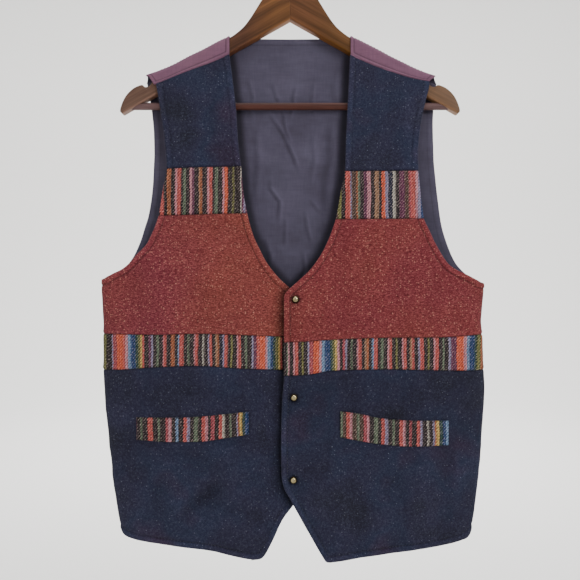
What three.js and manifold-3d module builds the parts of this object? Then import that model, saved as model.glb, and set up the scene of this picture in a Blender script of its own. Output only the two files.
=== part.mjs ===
// A patchwork wool vest on a wooden hanger, in millimetres, +Z up.
// The origin is the inside top of the hook, where it rests on a rail. The front faces -Y.
// Left and right are the wearer's: the left front is at +X and closes over the right front.
// A drop is a distance below the origin. A reach is a distance outwards from X = 0 along the cloth.

import * as THREE from 'three';
import { mergeVertices } from 'three/addons/utils/BufferGeometryUtils.js';
import Module from 'manifold-3d';

const wasm = await Module();
wasm.setup();

// Driving dimensions

const seamGap = 0.3; // between neighbouring pieces
const woolWall = 2.2;
const stripWall = 2;
const backWall = 1.5;
const liningWall = 1;
const weltWall = 1.8;

const hangerThick = 14;
const hangerRound = 3; // rounding of the wood's long edges
const hangerTop = 66;
const apexDrop = 111.1; // underside of the hanger at its middle
const armUnderCloth = { from: 79, to: 157 };
const barDrop = 223.7;
const barRadius = 4.7;
const barHalfLength = 213;
const hookRadius = 20; // to the middle of the wire
const wireRadius = 1.8;
const stemFoot = 88;
const stemTop = 54;
const hookTurn = { from: -42, to: 200, step: 11 }; // degrees round the hook's circle

const shoulderDepth = { front: 9.6, back: 10.2 }; // outside of the cloth from the middle plane, at the arms
const clothOnArm = 2.3; // from the top of an arm to the top of the cloth on it
const shoulderLine = { reach: 79, drop: 133, slope: 0.48 };
const shoulderFlat = 25; // cloth below that line that still lies flat
const shoulderFade = 200; // length over which it then takes the rounded section
const overlap = { reach: 85, length: 75, out: 3 }; // the left front comes forward towards its edge
const underlap = { reach: 60, length: 52, out: -3 }; // and the right front goes back under it
const snapRadius = 4.8;
const snapHeight = 2.6;

const fullness = 2.5; // power of the rounded section: 2 is an ellipse
const bendStart = 0.95; // share of the half width where the cloth turns to the side seam
const bendLength = 0.08; // length of that turn, as a share of the half width
const seamTurn = 100; // degrees from the middle of the front to the side seam
const foldFade = { from: 0.2, to: 0.7 }; // part of the section's height over which the folds come up

const stripRound = 5.3;
const stripInnerEnd = 78.8;
const stripFrontEnd = { left: 181.5, right: 179 };
const stripTopEnd = 187.5;

// The closed section of the vest at each drop: its middle in X, half width, and depth front and back

const sections = [
  { drop: 130, middle: 1, half: 249, front: 9.6, back: 10.2 },
  { drop: 200, middle: 2, half: 249, front: 10.5, back: 11 },
  { drop: 300, middle: 3, half: 249, front: 13, back: 13.5 },
  { drop: 380, middle: 4, half: 249, front: 15, back: 15.5 },
  { drop: 458, middle: 4.2, half: 249, front: 17, back: 17 },
  { drop: 507, middle: 2.4, half: 246.4, front: 18, back: 17.5 },
  { drop: 583, middle: 5.4, half: 248.4, front: 18, back: 17.5 },
  { drop: 635, middle: 6.9, half: 245, front: 17.5, back: 17 },
  { drop: 714, middle: 7.2, half: 237.4, front: 16.5, back: 16 },
  { drop: 779, middle: 7.6, half: 229, front: 15.5, back: 14.5 },
  { drop: 820, middle: 7.6, half: 223, front: 15, back: 14 },
];

// Top of the cloth over an arm of the hanger, and the seam of strip and yoke in front of it

const crest = [
  { reach: 79, drop: 133.2 },
  { reach: 105, drop: 146.3 },
  { reach: 131, drop: 159.4 },
  { reach: 157, drop: 172.6 },
  { reach: 170, drop: 178 },
  { reach: 188, drop: 184 },
];
const stripSeam = [
  { reach: 76, drop: 157.8 },
  { reach: 98, drop: 169.6 },
  { reach: 117, drop: 177.7 },
  { reach: 143, drop: 185.5 },
  { reach: 169, drop: 193.6 },
  { reach: 183, drop: 196.8 },
];

// Front edge of each side from the shoulder down the neck to the snaps and the hem's point

const leftEdge = [
  { drop: 158, reach: 78 },
  { drop: 199, reach: 76.1 },
  { drop: 271, reach: 72.5 },
  { drop: 311, reach: 71.1 },
  { drop: 336, reach: 65.9 },
  { drop: 368, reach: 60.4 },
  { drop: 395, reach: 51.6 },
  { drop: 413, reach: 43.4 },
  { drop: 426, reach: 35.6 },
  { drop: 439, reach: 25.8 },
  { drop: 452, reach: 12.2 },
  { drop: 462.4, reach: 0.4 },
  { drop: 470, reach: -6.6 },
  { drop: 478, reach: -7.8 },
  { drop: 574, reach: -7.8 },
  { drop: 606, reach: -10.2 },
  { drop: 671, reach: -11.6 },
  { drop: 709, reach: -10.9 },
  { drop: 722, reach: -7.7 },
  { drop: 735, reach: 0 },
  { drop: 779, reach: 25.8 },
  { drop: 816, reach: 47.7 },
];
const rightEdge = [
  { drop: 158, reach: 78.9 },
  { drop: 199, reach: 73.6 },
  { drop: 231, reach: 70 },
  { drop: 271, reach: 67.4 },
  { drop: 305, reach: 63.4 },
  { drop: 336, reach: 60.7 },
  { drop: 367, reach: 55 },
  { drop: 395, reach: 47.1 },
  { drop: 413, reach: 38.7 },
  { drop: 426, reach: 32.2 },
  { drop: 439, reach: 23.2 },
  { drop: 451, reach: 12.9 },
  { drop: 462.4, reach: 0 },
  { drop: 478, reach: -16.7 },
  { drop: 716, reach: -16.7 },
  { drop: 739, reach: -3.2 },
  { drop: 762, reach: 12.9 },
  { drop: 791, reach: 25.8 },
  { drop: 813, reach: 37 },
];

// Armhole of each side, by its rise above the top of the side seam: edge of the front and of the back

const leftArmhole = [
  { rise: 0.8, front: 249, back: 246 },
  { rise: 4.5, front: 243.5, back: 241.5 },
  { rise: 10.3, front: 231.8, back: 235 },
  { rise: 18, front: 215, back: 227 },
  { rise: 24.5, front: 206, back: 221.5 },
  { rise: 32.2, front: 199.7, back: 217 },
  { rise: 42.6, front: 193.3, back: 212.4 },
  { rise: 54, front: 187, back: 208 },
  { rise: 68.4, front: 180.6, back: 203.4 },
  { rise: 84, front: 173.6, back: 200 },
  { rise: 105, front: 170.8, back: 197 },
  { rise: 146, front: 166.9, back: 192.2 },
  { rise: 166, front: 166.3, back: 190.6 },
  { rise: 205, front: 169.8, back: 189.2 },
  { rise: 231, front: 175, back: 189.2 },
  { rise: 262, front: 182, back: 188 },
  { rise: 275, front: 183, back: 187 },
];
const rightArmhole = [
  { rise: 0.8, front: 241, back: 238 },
  { rise: 3, front: 238, back: 235 },
  { rise: 7, front: 231.8, back: 230 },
  { rise: 13, front: 218.9, back: 221.5 },
  { rise: 23.4, front: 206.1, back: 212.5 },
  { rise: 31, front: 199.7, back: 207.6 },
  { rise: 44, front: 186.9, back: 201.5 },
  { rise: 55.6, front: 180.6, back: 197 },
  { rise: 70, front: 174.2, back: 192.6 },
  { rise: 84, front: 170, back: 188.2 },
  { rise: 121, front: 164.2, back: 182.4 },
  { rise: 146, front: 160.4, back: 180.8 },
  { rise: 167, front: 161.8, back: 180 },
  { rise: 193, front: 164.6, back: 180.2 },
  { rise: 219, front: 168.6, back: 182.6 },
  { rise: 252, front: 174, back: 185 },
  { rise: 264, front: 177, back: 187 },
];

// Seams across each front, by reach: lower edge of the yoke, upper band, chest and waist band

const leftSeams = [
  { reach: -12, yoke: 311, band: 374, chest: 532.5, waist: 575 },
  { reach: 15, yoke: 311, band: 374, chest: 531.4, waist: 574.2 },
  { reach: 60, yoke: 311, band: 373.4, chest: 528.8, waist: 568.3 },
  { reach: 120, yoke: 310.5, band: 372.8, chest: 526.7, waist: 567.2 },
  { reach: 195, yoke: 309.8, band: 372, chest: 526.4, waist: 569 },
  { reach: 235, yoke: 309.4, band: 371.4, chest: 524.2, waist: 569.8 },
  { reach: 262, yoke: 309, band: 371, chest: 521.6, waist: 568.2 },
];
const rightSeams = [
  { reach: -17, yoke: 304, band: 365, chest: 526.7, waist: 569.4 },
  { reach: 60, yoke: 304.6, band: 365.8, chest: 523.2, waist: 566 },
  { reach: 120, yoke: 306, band: 367, chest: 521.6, waist: 562.8 },
  { reach: 180, yoke: 307.6, band: 368.5, chest: 523, waist: 565.2 },
  { reach: 210, yoke: 307.8, band: 368.8, chest: 522.6, waist: 567.8 },
  { reach: 254, yoke: 308, band: 369, chest: 522, waist: 569.6 },
];
const leftHem = [
  { reach: 47.7, drop: 816 },
  { reach: 64.4, drop: 814 },
  { reach: 90, drop: 809.4 },
  { reach: 141.7, drop: 801.4 },
  { reach: 193.2, drop: 793.4 },
  { reach: 219, drop: 787 },
  { reach: 228.6, drop: 783.4 },
  { reach: 235, drop: 776 },
  { reach: 244, drop: 770.6 },
];
const rightHem = [
  { reach: 37, drop: 813 },
  { reach: 51.5, drop: 811 },
  { reach: 77.3, drop: 805.4 },
  { reach: 103, drop: 799.6 },
  { reach: 154.6, drop: 793 },
  { reach: 193.2, drop: 787.4 },
  { reach: 208, drop: 784 },
  { reach: 217.6, drop: 778.6 },
  { reach: 223, drop: 773 },
  { reach: 232, drop: 770.2 },
];

// Top of the back: neckline, then the shoulders; and its hem, arched over the middle

const backTop = [
  { reach: 0, drop: 132.3 },
  { reach: 40, drop: 131.7 },
  { reach: 62, drop: 132.8 },
  { reach: 72, drop: 135.6 },
  { reach: 79, drop: 139.1 },
  { reach: 105, drop: 152.2 },
  { reach: 131, drop: 165.3 },
  { reach: 157, drop: 178.5 },
  { reach: 170, drop: 183.9 },
  { reach: 188, drop: 189.9 },
];
const backHem = [
  { reach: 0, drop: 742 },
  { reach: 90, drop: 750 },
  { reach: 170, drop: 766 },
  { reach: 240, drop: 770.5 },
];

// Pocket welts, by reach: upper and lower edge

const leftWelt = [
  { reach: 64.2, upper: 620.5, lower: 653.6 },
  { reach: 90, upper: 624, lower: 659 },
  { reach: 116, upper: 629.4, lower: 663 },
  { reach: 160, upper: 633, lower: 666.4 },
  { reach: 205, upper: 633.6, lower: 665.6 },
];
const rightWelt = [
  { reach: 52.7, upper: 620.5, lower: 650 },
  { reach: 84, upper: 624.3, lower: 655.4 },
  { reach: 116, upper: 627.6, lower: 660 },
  { reach: 155, upper: 629.4, lower: 660.8 },
  { reach: 198.5, upper: 629.4, lower: 658.6 },
];

// Largest folds: place in X and drop, lean from upright in degrees, half length, half width, and how far out

const frontFolds = [
  { x: -122, drop: 744, lean: 51, long: 42, wide: 15, out: -2 },
  { x: -170, drop: 470, lean: -14, long: 90, wide: 30, out: 1.4 },
  { x: -60, drop: 650, lean: 4, long: 110, wide: 26, out: 1.4 },
  { x: 205, drop: 512, lean: 74, long: 44, wide: 13, out: -1.6 },
  { x: 150, drop: 720, lean: -8, long: 80, wide: 28, out: 1.8 },
  { x: 120, drop: 455, lean: 22, long: 80, wide: 26, out: 1.2 },
  { x: 85, drop: 745, lean: 12, long: 55, wide: 20, out: -1.4 },
];
const backFolds = [
  { x: -120, drop: 520, lean: 5, long: 210, wide: 26, out: 2.6 },
  { x: -48, drop: 600, lean: -3, long: 150, wide: 22, out: -2 },
  { x: 22, drop: 560, lean: 2, long: 190, wide: 30, out: 2 },
  { x: 104, drop: 500, lean: -6, long: 200, wide: 24, out: 2.8 },
  { x: 168, drop: 620, lean: -2, long: 130, wide: 22, out: -1.6 },
  { x: -180, drop: 640, lean: 3, long: 120, wide: 22, out: -1.8 },
];

const snapSpots = [
  { x: 7, drop: 477.1 },
  { x: 5.1, drop: 602.9 },
  { x: 4.5, drop: 708.9 },
];

const left = {
  sign: 1,
  armpit: 456,
  edge: leftEdge,
  armhole: leftArmhole,
  seams: leftSeams,
  hem: leftHem,
};
const right = {
  sign: -1,
  armpit: 451,
  edge: rightEdge,
  armhole: rightArmhole,
  seams: rightSeams,
  hem: rightHem,
};

const finishes = {
  navy: { color: 0x262a38, roughness: 0.95, metalness: 0 },
  red: { color: 0x7c3638, roughness: 0.95, metalness: 0 },
  striped: { color: 0x8a5a48, roughness: 0.9, metalness: 0 },
  mauve: { color: 0x7a5a6c, roughness: 0.85, metalness: 0 },
  lining: { color: 0x4e4a58, roughness: 0.8, metalness: 0 },
  brass: { color: 0xb09045, roughness: 0.3, metalness: 1 },
  wood: { color: 0x5e3c22, roughness: 0.45, metalness: 0 },
  barWood: { color: 0x5a3020, roughness: 0.45, metalness: 0 },
  wire: { color: 0xb8b8bc, roughness: 0.25, metalness: 1 },
};

const vest = new THREE.Group();

function addPiece(name, geometry, finish) {
  const mesh = new THREE.Mesh(geometry, new THREE.MeshStandardMaterial(finishes[finish]));
  mesh.name = name;
  vest.add(mesh);
}

// Curves and shapes in common

// A smooth curve through the rows of a table, flat where the rows turn back
function curveAt(rows, by, column, place) {
  const last = rows.length - 1;
  if (place <= rows[0][by]) return rows[0][column];
  if (place >= rows[last][by]) return rows[last][column];
  const row = rows.findIndex((entry) => entry[by] > place) - 1;
  const width = (at) => rows[at + 1][by] - rows[at][by];
  const slope = (at) => (rows[at + 1][column] - rows[at][column]) / width(at);
  const lean = (at) => {
    if (at === 0) return slope(0);
    if (at === last) return slope(last - 1);
    const both = slope(at - 1) * slope(at);
    return both <= 0 ? 0 : (2 * both) / (slope(at - 1) + slope(at));
  };
  const t = (place - rows[row][by]) / width(row);
  const rise = t * t * (3 - 2 * t);
  return rows[row][column] * (1 - rise) + rows[row + 1][column] * rise
    + width(row) * (lean(row) * t * (1 - t) * (1 - t) - lean(row + 1) * t * t * (1 - t));
}

function ease(value) {
  return THREE.MathUtils.smoothstep(value, 0, 1);
}

function mix(from, to, share) {
  return from + (to - from) * share;
}

function evenly(count, from = 0, to = 1) {
  return Array.from({ length: count + 1 }, (_, at) => mix(from, to, at / count));
}

function withSign(value, power) {
  return Math.sign(value) * Math.abs(value) ** power;
}

// Closes the solid between two grids of points that face each other. Columns run first.
function wallBetween(outer, inner, columns, rows, flipped) {
  const across = columns + 1;
  const total = across * (rows + 1);
  const points = [...outer, ...inner].flatMap((point) => point.toArray());
  const faces = [];
  const quad = (a, b, c, d) => faces.push(...(flipped ? [a, c, b, a, d, c] : [a, b, c, a, c, d]));
  for (let row = 0; row < rows; row += 1) {
    for (let column = 0; column < columns; column += 1) {
      const a = row * across + column;
      quad(a, a + 1, a + across + 1, a + across);
      quad(total + a, total + a + across, total + a + across + 1, total + a + 1);
    }
  }
  for (let column = 0; column < columns; column += 1) {
    const top = rows * across + column;
    quad(column, total + column, total + column + 1, column + 1);
    quad(top, top + 1, total + top + 1, total + top);
  }
  for (let row = 0; row < rows; row += 1) {
    const a = row * across;
    const b = a + columns;
    quad(a, a + across, total + a + across, total + a);
    quad(b, total + b, total + b + across, b + across);
  }
  const geometry = new THREE.BufferGeometry();
  geometry.setAttribute('position', new THREE.Float32BufferAttribute(points, 3));
  geometry.setIndex(faces);
  return geometry;
}

// A wall over the places that place(across, up) gives on a surface of two values. Its outside is the
// surface moved out by lift, and its inside lies a thickness under it, both along the surface's normal.
function wall({ surface, place, columns, rows, thick, flipped = false, lift = 0 }) {
  const step = 0.05;
  const outer = [];
  const inner = [];
  for (const up of rows) {
    for (const across of columns) {
      const [reach, drop] = place(across, up);
      const along = surface(reach + step, drop).sub(surface(reach - step, drop));
      const over = surface(reach, drop - step).sub(surface(reach, drop + step));
      const normal = along.cross(over).normalize().multiplyScalar(flipped ? -1 : 1);
      outer.push(surface(reach, drop).addScaledVector(normal, lift));
      inner.push(surface(reach, drop).addScaledVector(normal, lift - thick));
    }
  }
  return wallBetween(outer, inner, columns.length - 1, rows.length - 1, flipped);
}

function toManifold(geometry) {
  const bare = geometry.clone();
  bare.deleteAttribute('normal');
  bare.deleteAttribute('uv');
  const merged = mergeVertices(bare, 1e-4);
  return new wasm.Manifold(new wasm.Mesh({
    numProp: 3,
    vertProperties: new Float32Array(merged.attributes.position.array),
    triVerts: new Uint32Array(merged.index.array),
  }));
}

function fromManifold(solid) {
  const mesh = solid.getMesh();
  const geometry = new THREE.BufferGeometry();
  geometry.setAttribute('position', new THREE.BufferAttribute(mesh.vertProperties, 3));
  geometry.setIndex(new THREE.BufferAttribute(mesh.triVerts, 1));
  return geometry;
}

// The vest's surface

const sharpness = 2 / fullness;
const bendAngle = Math.asin(bendStart ** (1 / sharpness));
const seamAngle = THREE.MathUtils.degToRad(seamTurn);
const bendPerShare = (seamAngle - bendAngle) / bendLength;
const frontShare = bendStart + bendLength;
const backShare = bendStart + (Math.PI - seamAngle - bendAngle) / bendPerShare;

// Angle round the section at a share of its half width, past 90 degrees behind the outline
function turnAt(share) {
  if (share <= bendStart) return Math.sign(share) * Math.asin(Math.abs(share) ** (1 / sharpness));
  return bendAngle + (share - bendStart) * bendPerShare;
}

// How far a spot has left the flat of the shoulders, from 0 there to 1 at the armhole's foot
function leaving(x, drop) {
  const shoulder = shoulderLine.drop + shoulderLine.slope * (Math.abs(x) - shoulderLine.reach);
  return ease((drop - shoulder - shoulderFlat) / shoulderFade);
}

function foldAt(folds, x, drop) {
  return folds.reduce((sum, fold) => {
    const angle = THREE.MathUtils.degToRad(fold.lean);
    const across = (x - fold.x) * Math.cos(angle) + (drop - fold.drop) * Math.sin(angle);
    const along = (drop - fold.drop) * Math.cos(angle) - (x - fold.x) * Math.sin(angle);
    return sum + fold.out * Math.exp(-((across / fold.wide) ** 2) - ((along / fold.long) ** 2));
  }, 0);
}

// Point of the outside of the cloth: face is 'front' or 'back', sign is 1 at +X
function clothPoint(face, sign, reach, drop) {
  const section = (column) => curveAt(sections, 'drop', column, drop);
  const share = (reach - sign * section('middle')) / section('half');
  const turn = turnAt(share);
  const x = section('middle') + sign * section('half') * withSign(Math.sin(turn), sharpness);
  const height = Math.cos(turn);
  const other = face === 'front' ? 'back' : 'front';
  const depth = withSign(height, sharpness) * section(height > 0 ? face : other);
  const rise = ease((height - foldFade.from) / (foldFade.to - foldFade.from));
  const folds = rise * foldAt(face === 'front' ? frontFolds : backFolds, x, drop);
  const out = mix(shoulderDepth[face], depth + folds, leaving(x, drop));
  const lap = face === 'front' ? lapAt(sign, reach) : 0;
  return new THREE.Vector3(x, face === 'front' ? -out - lap : out, -drop);
}

// How far a front stands forward near its edge
function lapAt(sign, reach) {
  const lap = sign === left.sign ? overlap : underlap;
  return lap.out * ease((lap.reach - reach) / lap.length);
}

function sideSeam(side, face, drop) {
  const half = curveAt(sections, 'drop', 'half', drop);
  const share = face === 'front' ? frontShare : backShare;
  return half * share + side.sign * curveAt(sections, 'drop', 'middle', drop) - seamGap / 2;
}

// Outer edge of a front or back: side seam, and above the armpit the armhole
function outerEdge(side, face, drop) {
  const rise = side.armpit - drop;
  const seam = sideSeam(side, face, Math.max(drop, side.armpit));
  if (rise <= 0) return seam;
  return curveAt([{ rise: 0, [face]: seam }, ...side.armhole], 'rise', face, rise);
}

const middleReach = 120;
const placeRounds = 12;

// Reach and drop of a place in a panel: across from its inner to its outer edge, and up through its
// levels, which are functions that give a drop for a reach, lowest first. Edges and levels depend on
// each other, so the place is found in a few rounds.
function panelPlace({ inner, outer, levels }, across, up) {
  const level = Math.min(Math.floor(up), levels.length - 2);
  let reach = middleReach;
  let drop = 0;
  for (let round = 0; round < placeRounds; round += 1) {
    drop = mix(levels[level](reach), levels[level + 1](reach), up - level);
    reach = mix(inner(drop), outer(drop), across);
  }
  return [reach, drop];
}

const turningShare = 0.92; // share of a panel's width from which its columns are close

// Columns from the inner edge, with close ones where the cloth turns to the side seam
function sideColumns(flat, turning) {
  return [...evenly(flat, 0, turningShare), ...evenly(turning, turningShare, 1).slice(1)];
}

// Rows of one level, close together near its foot where shift is over 1
function levelRows(count, start, shift = 1) {
  return evenly(count).map((share) => start + share ** shift);
}

// Fronts

const halfGap = seamGap / 2;
const sideRows = { skirt: 10, waist: 2, chest: 3 }; // rows of cloth along the side seam, front and back alike
const hemCrowd = 1.25; // how much closer the rows get towards the hem
const frontCells = { yoke: [7, 10], band: [8, 4], flat: 13, turning: 4, armhole: 8, armholeCrowd: 1.5 };

function addFrontPanels(side, name) {
  const seam = (column, shift) => (reach) => curveAt(side.seams, 'reach', column, reach) + shift;
  const inner = (drop) => curveAt(side.edge, 'drop', 'reach', drop);
  const outer = (drop) => outerEdge(side, 'front', drop);
  const shoulder = (reach) => curveAt(stripSeam, 'reach', 'drop', reach) + halfGap;
  const hem = (reach) => curveAt(side.hem, 'reach', 'drop', reach);
  const armpit = () => side.armpit;
  const add = (piece, finish, levels, columns, rows) => addPiece(`${name}_front_${piece}`, wall({
    surface: (reach, drop) => clothPoint('front', side.sign, reach, drop),
    place: (across, up) => panelPlace({ inner, outer, levels }, across, up),
    columns,
    rows,
    thick: woolWall,
    flipped: side.sign < 0,
  }), finish);

  const wide = sideColumns(frontCells.flat, frontCells.turning);
  const chestRows = [
    ...levelRows(sideRows.chest, 0),
    ...levelRows(frontCells.armhole, 1, frontCells.armholeCrowd).slice(1),
  ];

  add('yoke', 'navy', [seam('yoke', -halfGap), shoulder], ...frontCells.yoke.map((count) => evenly(count)));
  add('upper_band', 'striped', [seam('band', -halfGap), seam('yoke', halfGap)],
    ...frontCells.band.map((count) => evenly(count)));
  add('chest', 'red', [seam('chest', -halfGap), armpit, seam('band', halfGap)], wide, chestRows);
  add('waist_band', 'striped', [seam('waist', -halfGap), seam('chest', halfGap)], wide,
    evenly(sideRows.waist));
  add('skirt', 'navy', [hem, seam('waist', halfGap)], wide, levelRows(sideRows.skirt, 0, hemCrowd));
}

addFrontPanels(left, 'left');
addFrontPanels(right, 'right');

// Pocket welts, on the skirts

const weltCells = { columns: 12, rows: 3 };

function addWelt(side, name, table) {
  const place = (across, up) => {
    const reach = mix(table[0].reach, table.at(-1).reach, across);
    return [reach, mix(curveAt(table, 'reach', 'lower', reach), curveAt(table, 'reach', 'upper', reach), up)];
  };
  addPiece(`${name}_pocket_welt`, wall({
    surface: (reach, drop) => clothPoint('front', side.sign, reach, drop),
    place,
    columns: evenly(weltCells.columns),
    rows: evenly(weltCells.rows),
    thick: weltWall,
    flipped: side.sign < 0,
    lift: seamGap + weltWall,
  }), 'striped');
}

addWelt(left, 'left', leftWelt);
addWelt(right, 'right', rightWelt);

// Shoulder strips, over the arms of the hanger. Round a strip, 0 is its seam with the yoke, -1 the
// start of the front bend, -2 the top's front edge, -3 its back edge and -4 the foot, at the back's seam.

function stripPoint(sign, reach, around) {
  const frontFlat = shoulderDepth.front - stripRound;
  const backFlat = shoulderDepth.back - stripRound;
  const top = curveAt(crest, 'reach', 'drop', reach);
  const bend = top + stripRound;
  const frontTurn = THREE.MathUtils.clamp(-around - 1, 0, 1) * (Math.PI / 2);
  const backTurn = THREE.MathUtils.clamp(-around - 3, 0, 1) * (Math.PI / 2);
  const seam = curveAt(stripSeam, 'reach', 'drop', reach) - halfGap;
  if (around > -1) return new THREE.Vector3(sign * reach, -shoulderDepth.front, -mix(seam, bend, -around));
  const y = mix(-frontFlat, backFlat, THREE.MathUtils.clamp(-around - 2, 0, 1))
    + stripRound * (Math.sin(backTurn) - (around > -2 ? Math.cos(frontTurn) : 0));
  const low = around > -2 ? Math.sin(frontTurn) : Math.cos(backTurn);
  return new THREE.Vector3(sign * reach, y, -bend + stripRound * low);
}

const stripColumns = 10;
const stripRows = [...evenly(3), ...evenly(3, 1, 2).slice(1), 2.5, ...evenly(3, 3, 4)];

function addStrip(side, name) {
  const place = (across, up) => {
    const outerEnd = mix(stripFrontEnd[name], stripTopEnd, ease(up));
    return [mix(stripInnerEnd, outerEnd, across), -up];
  };
  addPiece(`${name}_shoulder_strip`, wall({
    surface: (reach, around) => stripPoint(side.sign, reach, around),
    place,
    columns: evenly(stripColumns),
    rows: stripRows,
    thick: stripWall,
    flipped: side.sign < 0,
  }), 'mauve');
}

addStrip(left, 'left');
addStrip(right, 'right');

// Back, and its lining just inside it

const seamReach = 240; // about where the back meets the side seams
const backCells = { flat: 8, turning: 2, armhole: 11, armholeCrowd: 1.4 };

function backPlace(across, up) {
  const side = across < 0 ? right : left;
  const level = (value) => (reach) => {
    const middle = (value(left, 0) + value(right, 0)) / 2;
    return mix(middle, value(side, reach), ease(reach / seamReach));
  };
  const levels = [
    (reach) => curveAt(backHem, 'reach', 'drop', reach),
    level((at, reach) => curveAt(at.seams, 'reach', 'waist', reach)),
    level((at, reach) => curveAt(at.seams, 'reach', 'chest', reach)),
    level((at) => at.armpit),
    (reach) => curveAt(backTop, 'reach', 'drop', reach) + halfGap,
  ];
  const outer = (drop) => outerEdge(side, 'back', drop);
  const [reach, drop] = panelPlace({ inner: () => 0, outer, levels }, Math.abs(across), up);
  return [side.sign * reach, drop];
}

const backShares = sideColumns(backCells.flat, backCells.turning).slice(1);
const backWallSettings = {
  surface: (x, drop) => clothPoint('back', x < 0 ? -1 : 1, Math.abs(x), drop),
  place: backPlace,
  columns: [...backShares.map((share) => -share).reverse(), 0, ...backShares],
  rows: [
    ...levelRows(sideRows.skirt, 0, hemCrowd),
    ...levelRows(sideRows.waist, 1).slice(1),
    ...levelRows(sideRows.chest, 2).slice(1),
    ...levelRows(backCells.armhole, 3, backCells.armholeCrowd).slice(1),
  ],
  flipped: true,
};

const liningLift = -backWall - seamGap;
addPiece('back_panel', wall({ ...backWallSettings, thick: backWall }), 'mauve');
addPiece('back_lining', wall({ ...backWallSettings, thick: liningWall, lift: liningLift }), 'lining');

// Snap buttons: domed caps on the left front

function snapCap() {
  const rim = 0.7;
  const chamfer = 0.4;
  const steps = 5;
  const profile = [
    new THREE.Vector2(0, 0),
    new THREE.Vector2(snapRadius - chamfer, 0),
    new THREE.Vector2(snapRadius, rim / 2),
  ];
  for (let at = 0; at <= steps; at += 1) {
    const turn = (at / steps) * (Math.PI / 2);
    const reach = at === steps ? 0 : snapRadius * Math.cos(turn);
    profile.push(new THREE.Vector2(reach, rim + (snapHeight - rim) * Math.sin(turn)));
  }
  const cap = new THREE.LatheGeometry(profile, 20);
  cap.rotateX(Math.PI);
  return cap;
}

snapSpots.forEach((spot, at) => {
  const cloth = clothPoint('front', left.sign, spot.x, spot.drop);
  const cap = snapCap();
  cap.translate(spot.x, cloth.y - seamGap, -spot.drop);
  addPiece(`snap_${at + 1}`, cap, 'brass');
});

// Hanger: one outline of wood, drilled for the bar and the hook and cut in two at its middle joint

const neckCurve = [
  { out: 17, drop: hangerTop },
  { out: 28, drop: 72.5 },
  { out: 37.6, drop: 87.1 },
  { out: 52, drop: 110 },
  { out: 60, drop: 120.5 },
  { out: 69, drop: 128.6 },
];
const tipCurve = [
  { out: 166, drop: 181 },
  { out: 175, drop: 188.6 },
  { out: 181, drop: 194.6 },
  { out: 185.2, drop: 199.2 },
  { out: 189.6, drop: 199.8 },
  { out: 193, drop: 196.8 },
  { out: 202, drop: 199.8 },
  { out: 208.6, drop: 204.5 },
  { out: 215, drop: 211.8 },
  { out: 220, drop: 222 },
  { out: 222.3, drop: 231 },
  { out: 219.2, drop: 234.6 },
];

function hangerBlank() {
  const underCloth = evenly(6, armUnderCloth.from, armUnderCloth.to).map((out) => {
    const drop = curveAt(crest, 'reach', 'drop', out) + clothOnArm;
    return { out, drop };
  });
  const side = [...neckCurve, ...underCloth, ...tipCurve];
  const outline = [
    ...side.map((spot) => new THREE.Vector2(spot.out, -spot.drop)),
    new THREE.Vector2(0, -apexDrop),
    ...side.map((spot) => new THREE.Vector2(-spot.out, -spot.drop)).reverse(),
  ];
  const blank = new THREE.ExtrudeGeometry(new THREE.Shape(outline), {
    depth: hangerThick - 2 * hangerRound,
    bevelEnabled: true,
    bevelThickness: hangerRound,
    bevelSize: hangerRound,
    bevelOffset: -hangerRound,
    bevelSegments: 2,
  });
  blank.translate(0, 0, hangerRound - hangerThick / 2);
  blank.rotateX(Math.PI / 2);
  return blank;
}

function barRod(radius, halfLength) {
  const rod = new THREE.CylinderGeometry(radius, radius, 2 * halfLength, 20);
  rod.rotateZ(Math.PI / 2);
  rod.translate(0, 0, -barDrop);
  return rod;
}

function hookHole() {
  const length = stemFoot + seamGap - stemTop;
  const hole = new THREE.CylinderGeometry(wireRadius + seamGap, wireRadius + seamGap, length, 12);
  hole.rotateX(Math.PI / 2);
  hole.translate(0, 0, length / 2 - stemFoot - seamGap);
  return hole;
}

// All of one side of the hanger, up to half a gap from its middle joint
function halfSpace(sign) {
  const size = 300;
  const box = new THREE.BoxGeometry(size, size, size);
  box.translate((sign * (size + seamGap)) / 2, 0, -size / 2);
  return box;
}

const drilled = toManifold(hangerBlank())
  .subtract(toManifold(barRod(barRadius + seamGap, barHalfLength + seamGap)))
  .subtract(toManifold(hookHole()));
addPiece('hanger_left_arm', fromManifold(drilled.intersect(toManifold(halfSpace(1)))), 'wood');
addPiece('hanger_right_arm', fromManifold(drilled.intersect(toManifold(halfSpace(-1)))), 'wood');
addPiece('hanger_bar', barRod(barRadius, barHalfLength), 'barWood');

// Hook: a straight stem, a bend to the side, and most of a circle whose inside top is the origin

function hookWire() {
  const middle = wireRadius - hookRadius;
  const points = evenly(3, stemFoot, stemTop).map((drop) => new THREE.Vector3(0, 0, -drop));
  for (let turn = hookTurn.from; turn <= hookTurn.to; turn += hookTurn.step) {
    const angle = THREE.MathUtils.degToRad(turn);
    points.push(new THREE.Vector3(hookRadius * Math.cos(angle), 0, middle + hookRadius * Math.sin(angle)));
  }
  const section = new THREE.Shape().absarc(0, 0, wireRadius, 0, 2 * Math.PI);
  return new THREE.ExtrudeGeometry(section, {
    extrudePath: new THREE.CatmullRomCurve3(points),
    steps: 44,
    curveSegments: 5,
  });
}

addPiece('hanger_hook', hookWire(), 'wire');

export default vest;
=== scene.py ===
import math

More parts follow.
